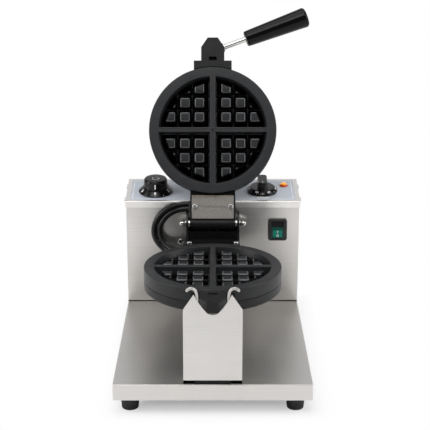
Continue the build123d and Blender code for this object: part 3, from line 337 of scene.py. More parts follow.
def finish(shade, rough, metallic=0.0, **sockets):
    """New material with a Principled shader, returned with its tree and shader."""
    made = bpy.data.materials.new("finish")
    made.use_nodes = True
    shader = made.node_tree.nodes["Principled BSDF"]
    feed(shader, Base_Color=(*shade, 1.0), Roughness=rough, Metallic=metallic, **sockets)
    return made, made.node_tree, shader


def grain(tree, scale, detail=3.0, roughness=0.6, stretch=(1.0, 1.0, 1.0)):
    """Noise in object coordinates, scaled in features per metre and stretched along an axis."""
    where = link_in(tree, "ShaderNodeTexCoord").outputs["Object"]
    mapped = link_in(tree, "ShaderNodeMapping", {"Vector": where, "Scale": stretch}).outputs["Vector"]
    noise = link_in(tree, "ShaderNodeTexNoise", {"Vector": mapped, "Scale": scale, "Detail": detail,
                                                 "Roughness": roughness})
    return noise.outputs["Fac"]


def coordinate(tree, axis):
    """One object coordinate of the shaded point, in metres."""
    where = link_in(tree, "ShaderNodeTexCoord").outputs["Object"]
    return link_in(tree, "ShaderNodeSeparateXYZ", {"Vector": where}).outputs[axis]


def spread(tree, value, low, high, start=0.3, end=0.7):
    """Maps a value from the range between start and end to that between low and high."""
    return link_in(tree, "ShaderNodeMapRange", {"Value": value, "From Min": start, "From Max": end,
                                                "To Min": low, "To Max": high}).outputs["Result"]


def tint(tree, value, first, second, low=0.35, high=0.65):
    """Colour that runs from one to another as a value goes from low to high."""
    ramp = link_in(tree, "ShaderNodeValToRGB", {"Fac": value})
    for stop, place, shade in zip(ramp.color_ramp.elements, (low, high), (first, second)):
        stop.position = place
        stop.color = (*shade, 1.0)
    return ramp.outputs["Color"]


def mixed(tree, factor, first, second, blend="MIX"):
    """Mix of two colours, each a socket or red, green and blue."""
    first, second = [c if isinstance(c, NodeSocket) else (*c, 1.0) for c in (first, second)]
    return link_in(tree, "ShaderNodeMixRGB", {"Fac": factor, "Color1": first, "Color2": second},
                   blend_type=blend).outputs["Color"]


def blended(tree, factor, first, second):
    """Mix of two shaders' outputs."""
    return link_in(tree, "ShaderNodeMixShader", {"Fac": factor, 1: first, 2: second}).outputs["Shader"]


def worked(tree, operation, *values):
    """Result of one calculation on sockets or numbers."""
    return link_in(tree, "ShaderNodeMath", dict(enumerate(values)), operation=operation).outputs["Value"]


def bumped(tree, height, distance, strength):
    """Normal bent by a height, with the relief's depth in metres."""
    return link_in(tree, "ShaderNodeBump", {"Height": height, "Distance": distance,
                                            "Strength": strength}).outputs["Normal"]


def scaled(shade, factor):
    """Colour times a factor, up to white."""
    return tuple(min(c * factor, 1.0) for c in shade)


# Finishes


def brushed(shade, rough, along="X", painted_shade_below=None, sides=1.0):
    """Sheet with fine drawn lines along one axis and a slow cloudy variation.

    Where a height is given, the sheet is painted near black below it, as painted shade where it meets the
    sheet under it, and its colour is multiplied by a factor that rises from 1 in the middle to sides at the
    ends, as painted light towards the sides.
    """
    made, tree, shader = finish(shade, rough, 1.0)
    lines = grain(tree, 900.0, 4.0, 0.7, {"X": (0.012, 1.0, 1.0), "Y": (1.0, 0.012, 1.0)}[along])
    cloud = grain(tree, 14.0, 2.0)
    base = tint(tree, lines, scaled(shade, 0.95), scaled(shade, 1.03))
    # Painted light and shade: paler towards the sides, and near black below the given height.
    if painted_shade_below is not None:
        away = worked(tree, "ABSOLUTE", coordinate(tree, "X"))
        factor = spread(tree, away, 1.0, sides, 0.07, 0.13)
        base = link_in(tree, "ShaderNodeVectorMath", {0: base, 1: factor}, operation="MULTIPLY").outputs[0]
        painted_gap_shadow = spread(tree, coordinate(tree, "Z"), 1.0, 0.0, painted_shade_below * MM, (painted_shade_below + 0.3) * MM)
        base = mixed(tree, painted_gap_shadow, base, (0.004, 0.004, 0.004))
    varied = worked(tree, "ADD", spread(tree, lines, -0.03, 0.03),
                    spread(tree, cloud, rough - 0.03, rough + 0.04))
    feed(shader, Base_Color=base, Roughness=varied, Normal=bumped(tree, lines, 0.00003, 0.22))
    return made


def cast(shade, rough, coarse, metallic=0.0, depth=0.00012, shine=0.5):
    """Cast or coated surface: fine pebble relief, slightly uneven colour and gloss."""
    made, tree, shader = finish(shade, rough, metallic, Specular_IOR_Level=shine)
    fine = grain(tree, 1500.0 / coarse, 3.0, 0.65)
    feed(shader, Base_Color=tint(tree, grain(tree, 60.0), scaled(shade, 0.82), scaled(shade, 1.15)),
         Roughness=spread(tree, fine, rough - 0.06, rough + 0.08), Normal=bumped(tree, fine, depth, 0.6))
    return made


def plate_coating():
    """Coated plate, charcoal on the tops, with painted shade that makes it black and dull in the pockets and
    painted highlights that make it paler along the edges.

    The level stored at each point sets how much of the coating's colour and shine it shows.
    """
    made, tree, shader = finish((0.0105, 0.011, 0.012), 0.4)
    level = link_in(tree, "ShaderNodeAttribute", attribute_name="level").outputs["Fac"]
    fine = grain(tree, 1300.0, 3.0, 0.65)
    top = tint(tree, grain(tree, 60.0), (0.0098, 0.0102, 0.0112), (0.0138, 0.0144, 0.0158))
    # Painted shade: the colour and the shine fall to almost nothing where the level is low, down in the
    # pockets.
    painted_recess_shade = tint(tree, level, (0.0008, 0.0008, 0.0008), (1.0, 1.0, 1.0), 0.0, 0.35)
    base = mixed(tree, 1.0, top, painted_recess_shade, "MULTIPLY")
    # Painted highlight: where the level passes 0.9 the colour turns pale.
    base = mixed(tree, spread(tree, level, 0.0, 1.0, 0.9, 1.0), base, (0.15, 0.155, 0.16))
    feed(shader, Base_Color=base, Specular_IOR_Level=worked(tree, "MULTIPLY", painted_recess_shade, 0.33),
         Roughness=spread(tree, fine, 0.34, 0.48), Normal=bumped(tree, fine, 0.00012, 0.6))
    return made


def blasted_steel():
    """Bead blasted plate with a salt and pepper grain and brown heat stains towards its upper edge."""
    made, tree, shader = finish((0.561, 0.527, 0.493), 0.42, 0.85)
    fine = grain(tree, 1100.0, 3.0, 0.75)
    base = tint(tree, fine, (0.221, 0.204, 0.184), (0.459, 0.433, 0.399), 0.35, 0.68)
    edge = spread(tree, coordinate(tree, "Z"), 0.0, 0.7, 208 * MM, 215 * MM)
    stain = spread(tree, grain(tree, 70.0, 4.0), 0.2, 1.0, 0.4, 0.6)
    base = mixed(tree, worked(tree, "MULTIPLY", edge, stain), base, (0.153, 0.085, 0.0425))
    feed(shader, Base_Color=base, Roughness=spread(tree, fine, 0.36, 0.55),
         Normal=bumped(tree, fine, 0.0001, 0.6))
    return made


def plastic(shade, rough, texture=0.00003, shine=0.5):
    """Moulded plastic or rubber with a faint skin texture."""
    made, tree, shader = finish(shade, rough, Specular_IOR_Level=shine)
    skin = grain(tree, 1200.0, 2.0)
    feed(shader, Base_Color=tint(tree, grain(tree, 40.0, 2.0), scaled(shade, 0.85), scaled(shade, 1.2)),
         Roughness=spread(tree, skin, rough * 0.85, rough * 1.2), Normal=bumped(tree, skin, texture, 0.5))
    return made


def polished(shade, rough):
    """Turned and polished bright metal with an uneven gloss."""
    made, tree, shader = finish(shade, rough, 1.0)
    feed(shader, Roughness=spread(tree, grain(tree, 500.0, 2.0), rough * 0.7, rough * 1.5))
    return made


def film(shade):
    """Printed control film: satin with a fine screen texture."""
    made, tree, shader = finish(shade, 0.38)
    fine = grain(tree, 1800.0, 2.0)
    feed(shader, Base_Color=tint(tree, grain(tree, 20.0, 2.0), scaled(shade, 0.94), scaled(shade, 1.05)),
         Roughness=spread(tree, fine, 0.33, 0.45), Normal=bumped(tree, fine, 0.00002, 0.3))
    return made


def lamp_lens():
    """Amber dome, yellow at its crown and deep orange at its foot, split by height."""
    made, tree, shader = finish((0.85, 0.22, 0.01), 0.12, Coat_Weight=0.4)
    level = spread(tree, coordinate(tree, "Z"), 0.0, 1.0, 211.8 * MM, 215.7 * MM)
    amber = tint(tree, level, (0.55, 0.06, 0.0), (1.0, 0.42, 0.02), 0.15, 0.85)
    feed(shader, Base_Color=amber, Emission_Color=amber,
         Emission_Strength=spread(tree, level, 0.05, 0.55, 0.1, 0.9))
    return made


def lit_window():
    """Translucent green plastic with a lamp behind it, uneven as through small cells."""
    shade, glow = (0.0, 0.16, 0.115), (0.0, 0.22, 0.15)
    made, tree, shader = finish(shade, 0.15, Transmission_Weight=0.35, IOR=1.49, Emission_Strength=0.4)
    cells = grain(tree, 260.0, 2.0)
    feed(shader, Base_Color=tint(tree, cells, scaled(shade, 0.75), shade),
         Emission_Color=tint(tree, cells, scaled(glow, 0.6), glow, 0.3, 0.7))
    return made


def rocker_finish():
    """Black upper half and dark green lower half of the switch rocker, split by height."""
    made, tree, shader = finish((0.0, 0.1, 0.07), 0.22)
    level = spread(tree, coordinate(tree, "Z"), 0.0, 1.0, 162.8 * MM, 163.4 * MM)
    feed(shader, Base_Color=tint(tree, level, (0.0, 0.055, 0.042), (0.006, 0.006, 0.006), 0.4, 0.6),
         Roughness=spread(tree, grain(tree, 900.0, 2.0), 0.18, 0.3))
    return made


def grey(value):
    """Even grey as red, green and blue."""
    return (value, value, value)


def make_materials(s):
    """Every finish by its name: steels and castings first, then rubber, plastic, print and lamps."""
    steel, casting = tuple(s.steel), tuple(s.casting)
    made = {
        "brushed_stainless": brushed(steel, 0.36),
        # The housing and cover use darker and paler copies of the one brushed steel: painted shade on the
        # housing, painted light on the cover. The housing and support are also painted dark near their feet
        # as painted shade, and the housing paler on its sides as painted light.
        "housing_steel": brushed(scaled(steel, 0.88), 0.34, painted_shade_below=BASE_TOP + 1.1, sides=1.35),
        "support_steel": brushed(scaled(steel, 1.03), 0.38, painted_shade_below=BASE_TOP + 5.4),
        "sheet_cover": brushed(scaled(steel, 1.35), 0.3),
        "zinc_steel": brushed((0.5, 0.51, 0.52), 0.4, "Y"),
        "blasted_steel": blasted_steel(),
        "polished_steel": polished((0.62, 0.61, 0.59), 0.16),
        "fastener_steel": polished((0.62, 0.62, 0.61), 0.2),
        "wire_steel": polished((0.54, 0.525, 0.50), 0.36),
        "bearing_bronze": polished((0.66, 0.5, 0.28), 0.3),
        "dark_steel": cast(grey(0.005), 0.34, 1.5, shine=0.35),
        "coated_casting": cast(casting, 0.38, 1.2, shine=0.33),
        "bare_casting": cast((0.0085, 0.0088, 0.0094), 0.42, 1.8, depth=0.0002, shine=0.28),
        "heater_sheath": cast((0.2, 0.17, 0.15), 0.45, 1.0, 1.0),
        "plate_coating": plate_coating(),
        "foot_rubber": plastic(grey(0.008), 0.55, texture=0.00008),
        "hose_rubber": plastic(grey(0.004), 0.28, texture=0.00004, shine=0.35),
        "knob_black": plastic(grey(0.003), 0.2, shine=0.3),
        "grip_black": plastic(grey(0.001), 0.15, shine=0.2),
        "switch_black": plastic(grey(0.009), 0.28),
        "gland_plastic": plastic(grey(0.015), 0.45),
        "control_body": plastic((0.62, 0.58, 0.5), 0.5),
        "terminal_plastic": plastic((0.75, 0.73, 0.68), 0.45),
        "lead_insulation": plastic((0.05, 0.05, 0.06), 0.5),
        "index_white": plastic((0.75, 0.75, 0.74), 0.35),
        "print_white": plastic((0.85, 0.85, 0.84), 0.5),
        "label_film": film(tuple(s.film)),
        "lamp_orange": lamp_lens(),
        "rocker_green": rocker_finish(),
        "rocker_window": lit_window(),
    }
    for name, finished in made.items():
        finished.name = name
    return made


MATERIALS = {}


def material(name):
    """The finish of that name; all are made when the first is asked for."""
    if not MATERIALS:
        MATERIALS.update(make_materials(bpy.context.scene.waffle_finishes))
    return MATERIALS[name]


# Waffle plates


CUT_CUBES = {(2, 0): (20.0, -1.3), (0, 2): (70.0, -1.3), (2, 1): (33.3, 0.9), (1, 2): (56.7, 0.9)}


def soft_step(value, blend):
    """Straight ramp from 0 to 1 as value goes from 0 to 1, with both corners rounded: the difference of two
    hyperbolas that follow the value above 0 and above 1."""
    rise = 0.5 * (value + np.sqrt(value**2 + blend**2))
    over = 0.5 * ((value - 1) + np.sqrt((value - 1) ** 2 + blend**2))
    return rise - over


def square_distance(x, y, half, corner):
    """Signed distance from a rounded square about the origin, negative inside."""
    qx = np.abs(x) - (half - corner)
    qy = np.abs(y) - (half - corner)
    outside = np.hypot(np.maximum(qx, 0), np.maximum(qy, 0))
    return outside + np.minimum(np.maximum(qx, qy), 0) - corner


def pocket_level(s):
    """Height function of one quarter: floor, low ridges between the cubes, and the cubes.

    Each cube's height falls from its top over the drafted wall, measured by the distance from its rounded
    square. The outer cubes, listed by column and row, are also cut by a line that is square to a direction in
    degrees, at the cubes' reach less a step. A ridge falls in the same way with its distance from a line.
    """
    first, pitch = s.cube_first, s.cube_pitch
    rise = s.pocket_depth - s.cube_drop
    ridge_half, ridge_wall, cube_corner = 0.5, 1.5, 1.3

    def level(x, y):
        top = np.zeros_like(x)
        for line in (first + 0.5 * pitch, first + 1.5 * pitch):
            for across in (x, y):
                d = (np.abs(across - line) - ridge_half) / ridge_wall
                top = np.maximum(top, s.ridge_height * (1 - soft_step(d, 0.35)))
        for i, j in np.ndindex(3, 3):
            if (i, j) == (2, 2):
                continue
            d = square_distance(x - first - i * pitch, y - first - j * pitch, s.cube_top / 2, cube_corner)
            if (i, j) in CUT_CUBES:
                direction, step = CUT_CUBES[i, j]
                a = math.radians(direction)
                d = np.maximum(d, x * math.cos(a) + y * math.sin(a) - s.cube_reach + step)
            top = np.maximum(top, rise * (1 - soft_step(d / s.cube_draft, 0.3)))
        return top - s.pocket_depth

    return level


def plate_level(s):
    """Value stored at each point, from 0 on a pocket's floor, where it paints the deepest shade, to 1 for the
    painted highlights along edges.

    It rises with the height up to the cubes' flat tops, so low points get painted shade. The cubes' edges and
    the tips of the small outer cubes get full painted highlights, and the dividers' shoulders and the rim get
    a little.
    """
    rows = s.cube_first + s.cube_pitch * np.arange(3)
    half = s.cube_top / 2
    wall, cube_top, divider_top, side, rim, shoulder, painted_highlight = 0.42, 0.45, 0.52, 0.8, 0.906, 0.93, 1.0

    def level(points):
        x, y, z = np.abs(points[:, 0]), np.abs(points[:, 1]), points[:, 2]
        rise = np.clip((z + s.pocket_depth) / (s.pocket_depth - s.cube_drop), 0, 1)
        # Painted shade: the level falls with the depth, so the pockets are painted dark.
        value = np.where(rise > 0.96, cube_top, wall * rise)
        across = np.min(np.abs(x[:, None] - rows), axis=1)
        along = np.min(np.abs(y[:, None] - rows), axis=1)
        inside = z < -1.5
        edge = np.abs(np.maximum(across, along) - half + 0.35) < 0.6
        on_cube = (rise > 0.8) & inside & (x > 5) & (y > 5)
        # Painted highlights along the cubes' edges and on the tips of the small outer cubes.
        value = np.where(on_cube & edge, painted_highlight, value)
        for column, row in ((rows[2], rows[1]), (rows[1], rows[2])):
            tip = np.maximum(np.abs(x - column + half - 0.8), np.abs(y - row + half - 0.8)) < 0.9
            value = np.where(tip & inside, painted_highlight, value)
        # Fainter painted highlights on the dividers' shoulders and on the rim.
        for away, width in ((x, s.divider_long), (y, s.divider_cross)):
            top = (away < width / 2 + 0.2) & (z > -1.3)
            value = np.where(top, np.where(away > width / 2 - 1.7, shoulder, divider_top), value)
        value = np.where(np.hypot(x, y) > s.pocket_radius - 0.4, rim, value)
        return np.where(z < -s.pocket_depth - 0.2, side, value)

    return level


def divider(width, reach, depth):
    """Bar along Y across the pocket: a drafted section with rounded shoulders and a foot that runs into the
    floor, the same at both ends."""
    w = width / 2
    side = np.array([(w + 2.2, -depth - 0.6), (w + 2.1, -depth + 0.05), (w + 1.2, -depth + 0.45),
                     (w + 0.75, -depth + 1.4), (w + 0.1, -2.0), (w - 0.1, -1.1), (w - 0.5, -0.5),
                     (w - 1.1, -0.24), (w - 1.9, -0.24), (w - 2.4, -0.42)])
    outline = np.vstack([side, side[::-1] * (-1, 1)])
    return shell([np.insert(outline, 1, y, axis=1) for y in (reach, -reach)])


def quarter_turned(shape, quarters):
    """Shape turned about Z by right angles."""
    verts, faces = shape
    c, q = [(1, 0), (0, 1), (-1, 0), (0, -1)][quarters % 4]
    x, y, z = verts.T
    return np.column_stack([c * x - q * y, q * x + c * y, z]), faces


def waffle_plate(s):
    """Rim ring, two dividers and four quarters of cubes, face up.

    A quarter's grid points beyond the pocket's foot are drawn in along their radius to the foot.
    """
    r, p, d, t = s.plate_radius, s.pocket_radius, s.pocket_depth, s.plate_thickness
    ring = [(r - 0.7, -t), (r, -t + 0.7), (r, -1.4), (r - 0.25, -0.65), (r - 0.9, -0.2), (p + 1.2, -0.2),
            (p + 0.45, -0.5), (p + 0.1, -1.2), (p - 2.6, -d + 2.0), (p - 3.3, -d + 0.7), (p - 4.8, -d + 0.05),
            (p - 6.2, -d + 0.03), (p - 6.2, -t)]
    long = divider(s.divider_long, p + 2, d)
    cross = quarter_turned(divider(s.divider_cross, p + 2, d), 3)
    foot = p - 3.6
    steps = np.arange(3.25, foot + 0.2, s.grid_step)
    verts, faces = height_slab(steps, pocket_level(s), -t + 0.02)
    away = np.hypot(verts[:, 0], verts[:, 1])[:, None]
    verts[:, :2] *= np.minimum(1.0, foot / away)
    quarters = [quarter_turned((verts, faces), turn) for turn in range(4)]
    return [ring_lathe(ring[::-1]), long, cross] + quarters


def nose_root(s):
    """Block between the nose and the plate's rim: straight in front, and at the rear an arc just outside the
    rim. Its upper edge is drawn in towards its middle."""
    x = np.linspace(-s.root_half, s.root_half, 25)
    arc = np.column_stack([x, -np.sqrt((s.plate_radius + 0.6) ** 2 - x * x)])
    front = np.array([(s.root_half, -s.root_front), (-s.root_half, -s.root_front)])
    outline = np.vstack([arc, front])[::-1]
    inward = np.array([1.0, 1.0] + [-1.0] * len(arc))
    rows = []
    for z, inset in ((-16.0, 0.0), (-1.0, 0.0), (-0.6, 0.15), (-0.35, 0.45)):
        drawn = np.column_stack([outline[:, 0] * (1 - inset / s.root_half), outline[:, 1] + inset * inward])
        rows.append(at_level(drawn, z))
    return shell(rows)


class WafflePlateSettings(PropertyGroup):
    """Sizes of the waffle plates"""

    plate_radius: in_mm("Plate radius", "Outer radius", 95.3)
    plate_thickness: in_mm("Plate thickness", "Thickness of a plate", 18.4)
    pocket_radius: in_mm("Pocket radius", "Radius of the pocket at the rim", 80.6)
    pocket_depth: in_mm("Pocket depth", "Depth of the pocket below the parting plane", 12.5)
    divider_long: in_mm("Long divider", "Width of the divider from front to back", 8.4)
    divider_cross: in_mm("Cross divider", "Width of the divider across", 7.6)
    cube_top: in_mm("Cube top", "Width of a cube's flat top", 13.3)
    cube_first: in_mm("First cube", "Distance of the first row from the middle", 19.9)
    cube_pitch: in_mm("Cube pitch", "Distance between rows", 21.8)
    cube_drop: in_mm("Cube drop", "Height of the parting plane above the cube tops", 3.0)
    cube_draft: in_mm("Cube draft", "Width of a cube's sloping wall", 2.0)
    cube_reach: in_mm("Cube reach", "Distance of the slanted cuts from the middle", 69.05)
    ridge_height: in_mm("Ridge height", "Height of the ridges between cubes", 3.0)
    root_half: in_mm("Root half width", "Half the width of the nose's root", 28.4)
    root_front: in_mm("Root front", "Distance of the root's front from the plate's middle", 105.0)
    grid_step: in_mm("Grid step", "Spacing of the height grid", 0.52)


class WAFFLE_OT_plates(Operator):
    """Build both waffle plates over their plain solids, and the roots of their noses"""

    bl_idname = "waffle.plates"
    bl_label = "Waffle Plates"

    def execute(self, context):
        s = context.scene.waffle_plates
        shapes, level, root = waffle_plate(s), plate_level(s), nose_root(s)
        face_down = lid_frame() @ turned(180, "X")
        build("lower_waffle_plate", shapes, plate_frame(), "head", "coated_casting", ["lower_grid_plate"],
              "plate_coating", level=level)
        build("lid_waffle_plate", shapes, face_down, "lid", "coated_casting", ["lid_grid_plate"],
              "plate_coating", level=level)
        build("lower_nose_root", [root], plate_frame(), "head", "bare_casting")
        build("lid_nose_root", [root], face_down @ turned(180, "Z"), "lid", "bare_casting")
        return {"FINISHED"}


# Dials, lamp and switch


# Turn in degrees of the side of a dial that faces the front
DIAL_FRONT = -90


def lettering(text, size, thickness, bold):
    """Solid letters about the origin in the XY plane."""
    curve = bpy.data.curves.new("lettering", "FONT")
    curve.body = text
    curve.size = size
    curve.align_x = "CENTER"
    curve.align_y = "CENTER"
    curve.extrude = thickness / 2
    curve.resolution_u = 3
    curve.offset = bold
    return curve_mesh(curve)


def on_cone(shape, turn, radius, height, lean):
    """Carries a flat shape onto a cone's face: X runs round, Y up the slope and Z out of the face."""
    verts, faces = shape
    a, b = math.radians(turn), math.radians(lean)
    out = np.array((math.cos(a), math.sin(a), 0.0))
    around = np.array((-math.sin(a), math.cos(a), 0.0))
    axis = np.array((0.0, 0.0, 1.0))
    up = -out * math.cos(b) + axis * math.sin(b)
    normal = out * math.sin(b) + axis * math.cos(b)
    return out * radius + axis * height + verts @ np.array([around, up, normal]), faces


def mark(width, height, thickness):
    """Short printed line about the origin."""
    return plate(width, height, min(width, height) * 0.3, -thickness / 2, thickness / 2)


def dial_marks(labels, turns, lean, letters, ticks):
    """Numbers round a dial's cone, and ticks at and between them.

    letters holds their size, how bold they are, their radius and height; ticks holds their radius and height.
    """
    size, bold, radius, height = letters
    parts = [on_cone(lettering(text, size, 0.7, bold), turn, radius, height, lean)
             for text, turn in zip(labels.split(), turns)]
    for turn in np.linspace(turns[0], turns[-1], 2 * len(turns) - 1):
        parts.append(on_cone(mark(0.5, 1.3, 0.2), turn, *ticks, lean))
    return parts


def timer_shape(s):
    """Skirt and cap of the timer dial turned about Z, with a shallow dish in the cap's top."""
    h, r, c = s.timer_height, s.timer_skirt, s.timer_cap
    return lathe([(0, 0.8), (r - 0.4, 0.8), (r, 1.2), (r, 2.0), (r - 0.35, 2.6), (c + 2.4, 7.2),
                  (c + 1.7, 7.8), (c + 0.05, 7.8), (c, 8.2), (c - 0.4, h - 3.4), (c - 0.8, h - 1.8),
                  (c - 1.7, h - 0.6), (c - 3.2, h), (6.2, h), (5.8, h - 0.35), (0, h - 0.35)], 128)


def thermostat_shape(s):
    """Dial disc with a conical rim, and the bar grip: rounded outlines that narrow towards its top."""
    r, top = s.thermostat_dial, s.thermostat_height
    disc = lathe([(0, 0.8), (r - 0.4, 0.8), (r, 1.2), (r, 3.4), (r - 0.4, 4.0), (18.6, 7.6), (17.6, 8.0),
                  (0, 8.0)], 112)
    levels = ((7.0, 16.0, 37.8), (8.2, 15.8, 37.6), (14.0, 15.0, 36.8), (top - 2.0, 14.4, 35.8),
              (top - 0.8, 13.8, 35.0), (top - 0.2, 12.6, 33.6), (top, 11.0, 31.8))
    return [disc, shell([at_level(rounded_section(w, long, w * 0.32, 7), z) for z, w, long in levels])]


class WaffleDialSettings(PropertyGroup):
    """Places and sizes of the two dials"""

    timer_x: in_mm("Timer place", "Timer's place across the panel", -87.0)
    timer_along: in_mm("Timer depth", "Timer's place up the panel", 37.0)
    timer_skirt: in_mm("Timer skirt", "Radius of the skirt", 26.2)
    timer_cap: in_mm("Timer cap", "Radius of the cap", 18.2)
    timer_height: in_mm("Timer height", "Height above the panel", 22.0)
    thermostat_x: in_mm("Thermostat place", "Thermostat's place across the panel", 75.7)
    thermostat_along: in_mm("Thermostat depth", "Thermostat's place up the panel", 38.0)
    thermostat_dial: in_mm("Thermostat dial", "Radius of the dial", 23.0)
    thermostat_height: in_mm("Grip height", "Height of the bar grip above the panel", 20.5)


class WAFFLE_OT_dials(Operator):
    """Build the timer and thermostat dials with their numbers"""

    bl_idname = "waffle.dials"
    bl_label = "Dials"

    def execute(self, context):
        s = context.scene.waffle_dials
        timer = panel_frame() @ shifted(s.timer_x, s.timer_along, 0)
        build("timer_dial_body", [timer_shape(s)], timer, "timer_dial", "knob_black", ["timer_knob"])
        marks = dial_marks("0 1 2 3 4 5", DIAL_FRONT + 60 * np.arange(6), lean=39.2,
                           letters=(6.2, 0.3, 22.4, 5.5), ticks=(25.3, 3.15))
        ring = ring_lathe([(5.0, 21.72), (5.0, 21.6), (5.6, 21.6), (5.6, 21.72)], 48)
        pointer = on_cone(mark(1.7, 7.4, 0.3), DIAL_FRONT, s.timer_cap - 0.3, 14.6, 87.5)
        build("timer_dial_marks", marks + [pointer, ring], timer, "timer_dial", "index_white",
              look="print_white")
        thermo = panel_frame() @ shifted(s.thermostat_x, s.thermostat_along, 0)
        build("thermostat_dial_body", thermostat_shape(s), thermo, "thermostat_dial", "knob_black",
              ["thermostat_knob"])
        marks = dial_marks("0 50 100 150 200 250", DIAL_FRONT + 130 - 52 * np.arange(6), lean=42.0,
                           letters=(3.7, 0.08, 20.3, 6.15), ticks=(22.0, 4.66))
        top = s.thermostat_height
        line = plate(1.0, 6.0, 0.4, top - 0.1, top + 0.08, 0, 0, -12.0)
        build("thermostat_dial_marks", marks + [line], thermo, "thermostat_dial", "index_white",
              look="print_white")
        return {"FINISHED"}


# The rocker's pivot, its angle at rest in degrees, and its lower face's distance, rise and length
ROCKER_PIVOT = (97.9, 296.0, 158.6)
ROCKER_REST = 7.0
ROCKER_FACE = 5.6
ROCKER_RISE = 2.6
ROCKER_HALF = 13.4


def rocker_frame():
    """Middle of the rocker's lower face, X across, Y up the face, Z out of it."""
    lean = math.degrees(math.atan2(ROCKER_RISE, ROCKER_HALF))
    pivot = moved(*ROCKER_PIVOT) @ turned(-ROCKER_REST, "X")
    return pivot @ shifted(0, -ROCKER_FACE, 0) @ turned(90 + lean, "X")


class WaffleSwitchSettings(PropertyGroup):
    """Sizes of the switch's window and of the lamp"""

    window: in_mm("Window", "Width of the lit window", 13.2)
    window_drop: in_mm("Window place", "Place of the window's middle below the rocker's middle", 6.4)
    lamp_x: in_mm("Lamp place", "Lamp's place across the panel", 109.5)
    lamp_along: in_mm("Lamp depth", "Lamp's place up the panel", 59.0)
    lamp_radius: in_mm("Lamp radius", "Radius of the lamp's dome", 5.5)


class WAFFLE_OT_switch(Operator):
    """Build the rocker's lit window and signs, and the indicator lamp"""

    bl_idname = "waffle.switch"
    bl_label = "Switch and Lamp"

    def execute(self, context):
        s = context.scene.waffle_switch
        place = rocker_frame()
        window = plate(s.window, 11.0, 0.8, -0.3, 0.12, 0.1, 0, -s.window_drop)
        build("rocker_lit_window", [window], place, "switch_rocker", "rocker_green", look="rocker_window")
        bar = plate(1.0, 3.8, 0.3, 0.0, 0.25, 0.0, 0, -3.3)
        ring, faces = ring_lathe([(0.62, 0.0), (0.62, 0.25), (1.0, 0.25), (1.0, 0.0)], 32, (1.7, 1.9))
        ring = (ring + (0, -9.2, 0), faces)
        build("rocker_signs", [bar, ring], place, "switch_rocker", "index_white", look="print_white")
        r, t = s.lamp_radius, np.linspace(0.1, 1.45, 10)
        dome = np.column_stack([r * np.cos(t), 1.3 + 3.7 * np.sin(t)])
        foot = [(0, 0.3), (6.5, 0.3), (6.55, 0.6), (6.3, 1.15), (r + 0.1, 1.25)]
        lamp = panel_frame() @ shifted(s.lamp_x, s.lamp_along, 0)
        build("lamp_dome", [lathe(np.vstack([foot, dome, (0, 5.0)]), 64)], lamp, "body", "lamp_orange",
              ["indicator_lamp_lens"])
        return {"FINISHED"}


# Handle and sprung wire


class WaffleHandleSettings(PropertyGroup):
    """Place and sizes of the handle's grip"""

    root: in_mm("Root", "Distance of the rod's root from the plate's middle", 120.5)
    turn: FloatProperty(name="Turn", description="Angle between the rod and the X axis", subtype="ANGLE",
                        default=math.radians(20.6))
    lift: in_mm("Lift", "Height above the parting plane", 8.0)
    start: in_mm("Grip start", "Distance of the grip from the root", 53.3)
    length: in_mm("Grip length", "Length of the grip", 98.3)
    small: in_mm("Small end", "Radius of the grip's small end", 11.7)
    large: in_mm("Large end", "Radius of the grip's large end", 15.1)


class WAFFLE_OT_handle(Operator):
    """Build the tapered grip with its rounded ends"""

    bl_idname = "waffle.handle"
    bl_label = "Handle Grip"

    def execute(self, context):
        s = context.scene.waffle_handle
        place = lid_frame() @ shifted(0, -s.root, s.lift) @ Matrix.Rotation(-s.turn, 4, "Z") @ turned(90, "Y")
        a, n, round_end = s.small, s.large, 4.5
        z0, z1 = s.start, s.start + s.length
        foot = [(0, z0), (a - 2.0, z0), (a - 0.9, z0 + 0.35), (a - 0.25, z0 + 1.1), (a, z0 + 2.2)]
        t = np.linspace(0.08, 0.93, 12)
        taper = np.column_stack([a + (n - a) * t, z0 + s.length * t])
        t = np.linspace(0.0, 1.5, 9)
        end = np.column_stack([n - round_end + round_end * np.cos(t), z1 - round_end + 4.4 * np.sin(t)])
        build("handle_grip_body", [lathe(np.vstack([foot, taper, end, (0, z1)]))], place, "lid", "grip_black",
              ["handle_grip"])
        return {"FINISHED"}


class WaffleSpringSettings(PropertyGroup):
    """Sizes of the sprung wire and of the dark strip of painted shade below it"""

    radius: in_mm("Wire radius", "Radius of the sprung wire", 2.0)
    half: in_mm("Half width", "Half the distance between the two legs", 20.0)
    shade_strip_half: in_mm("Shading half", "Half the length of the dark shading", 22.8)
    shade_strip_sheet: in_mm("Shading sheet", "Thickness of the dark shading", 1.0)
    shade_strip_place: in_mm("Shading place", "Distance of the dark shading's middle from the base's front", 2.9)


def wire_route(s):
    """Control points of the wire from hook to hook: the right leg, and its mirror image before it."""
    h, y = s.half, 5.55
    right = np.array([(h - 2, y, 58), (h, y, 60), (h, y, 119), (h + 0.4, 4.9, 124.5), (h + 2.6, 3.5, 130.2),
                      (h + 7.0, 2.2, 132.6), (h + 11.6, 2.1, 131.2), (h + 12.6, 2.1, 129.6)])
    return np.vstack([right[::-1] * (-1, 1, 1), right]) + (0, 0, BASE_TOP)


def support_shade_strip(s):
    """Dark strip in the slot between the support's front sheet and the base, drawn in above and
    below: a piece of painted shade where the slot lies in shade."""
    x, y = s.shade_strip_half, s.shade_strip_sheet / 2
    levels = ((0.02, 0.2), (0.3, 0.0), (5.1, 0.0), (5.4, 0.2))
    return shell([at_level(square_section(x - inset, y - inset), BASE_TOP + z, 0, s.shade_strip_place)
                  for z, inset in levels])


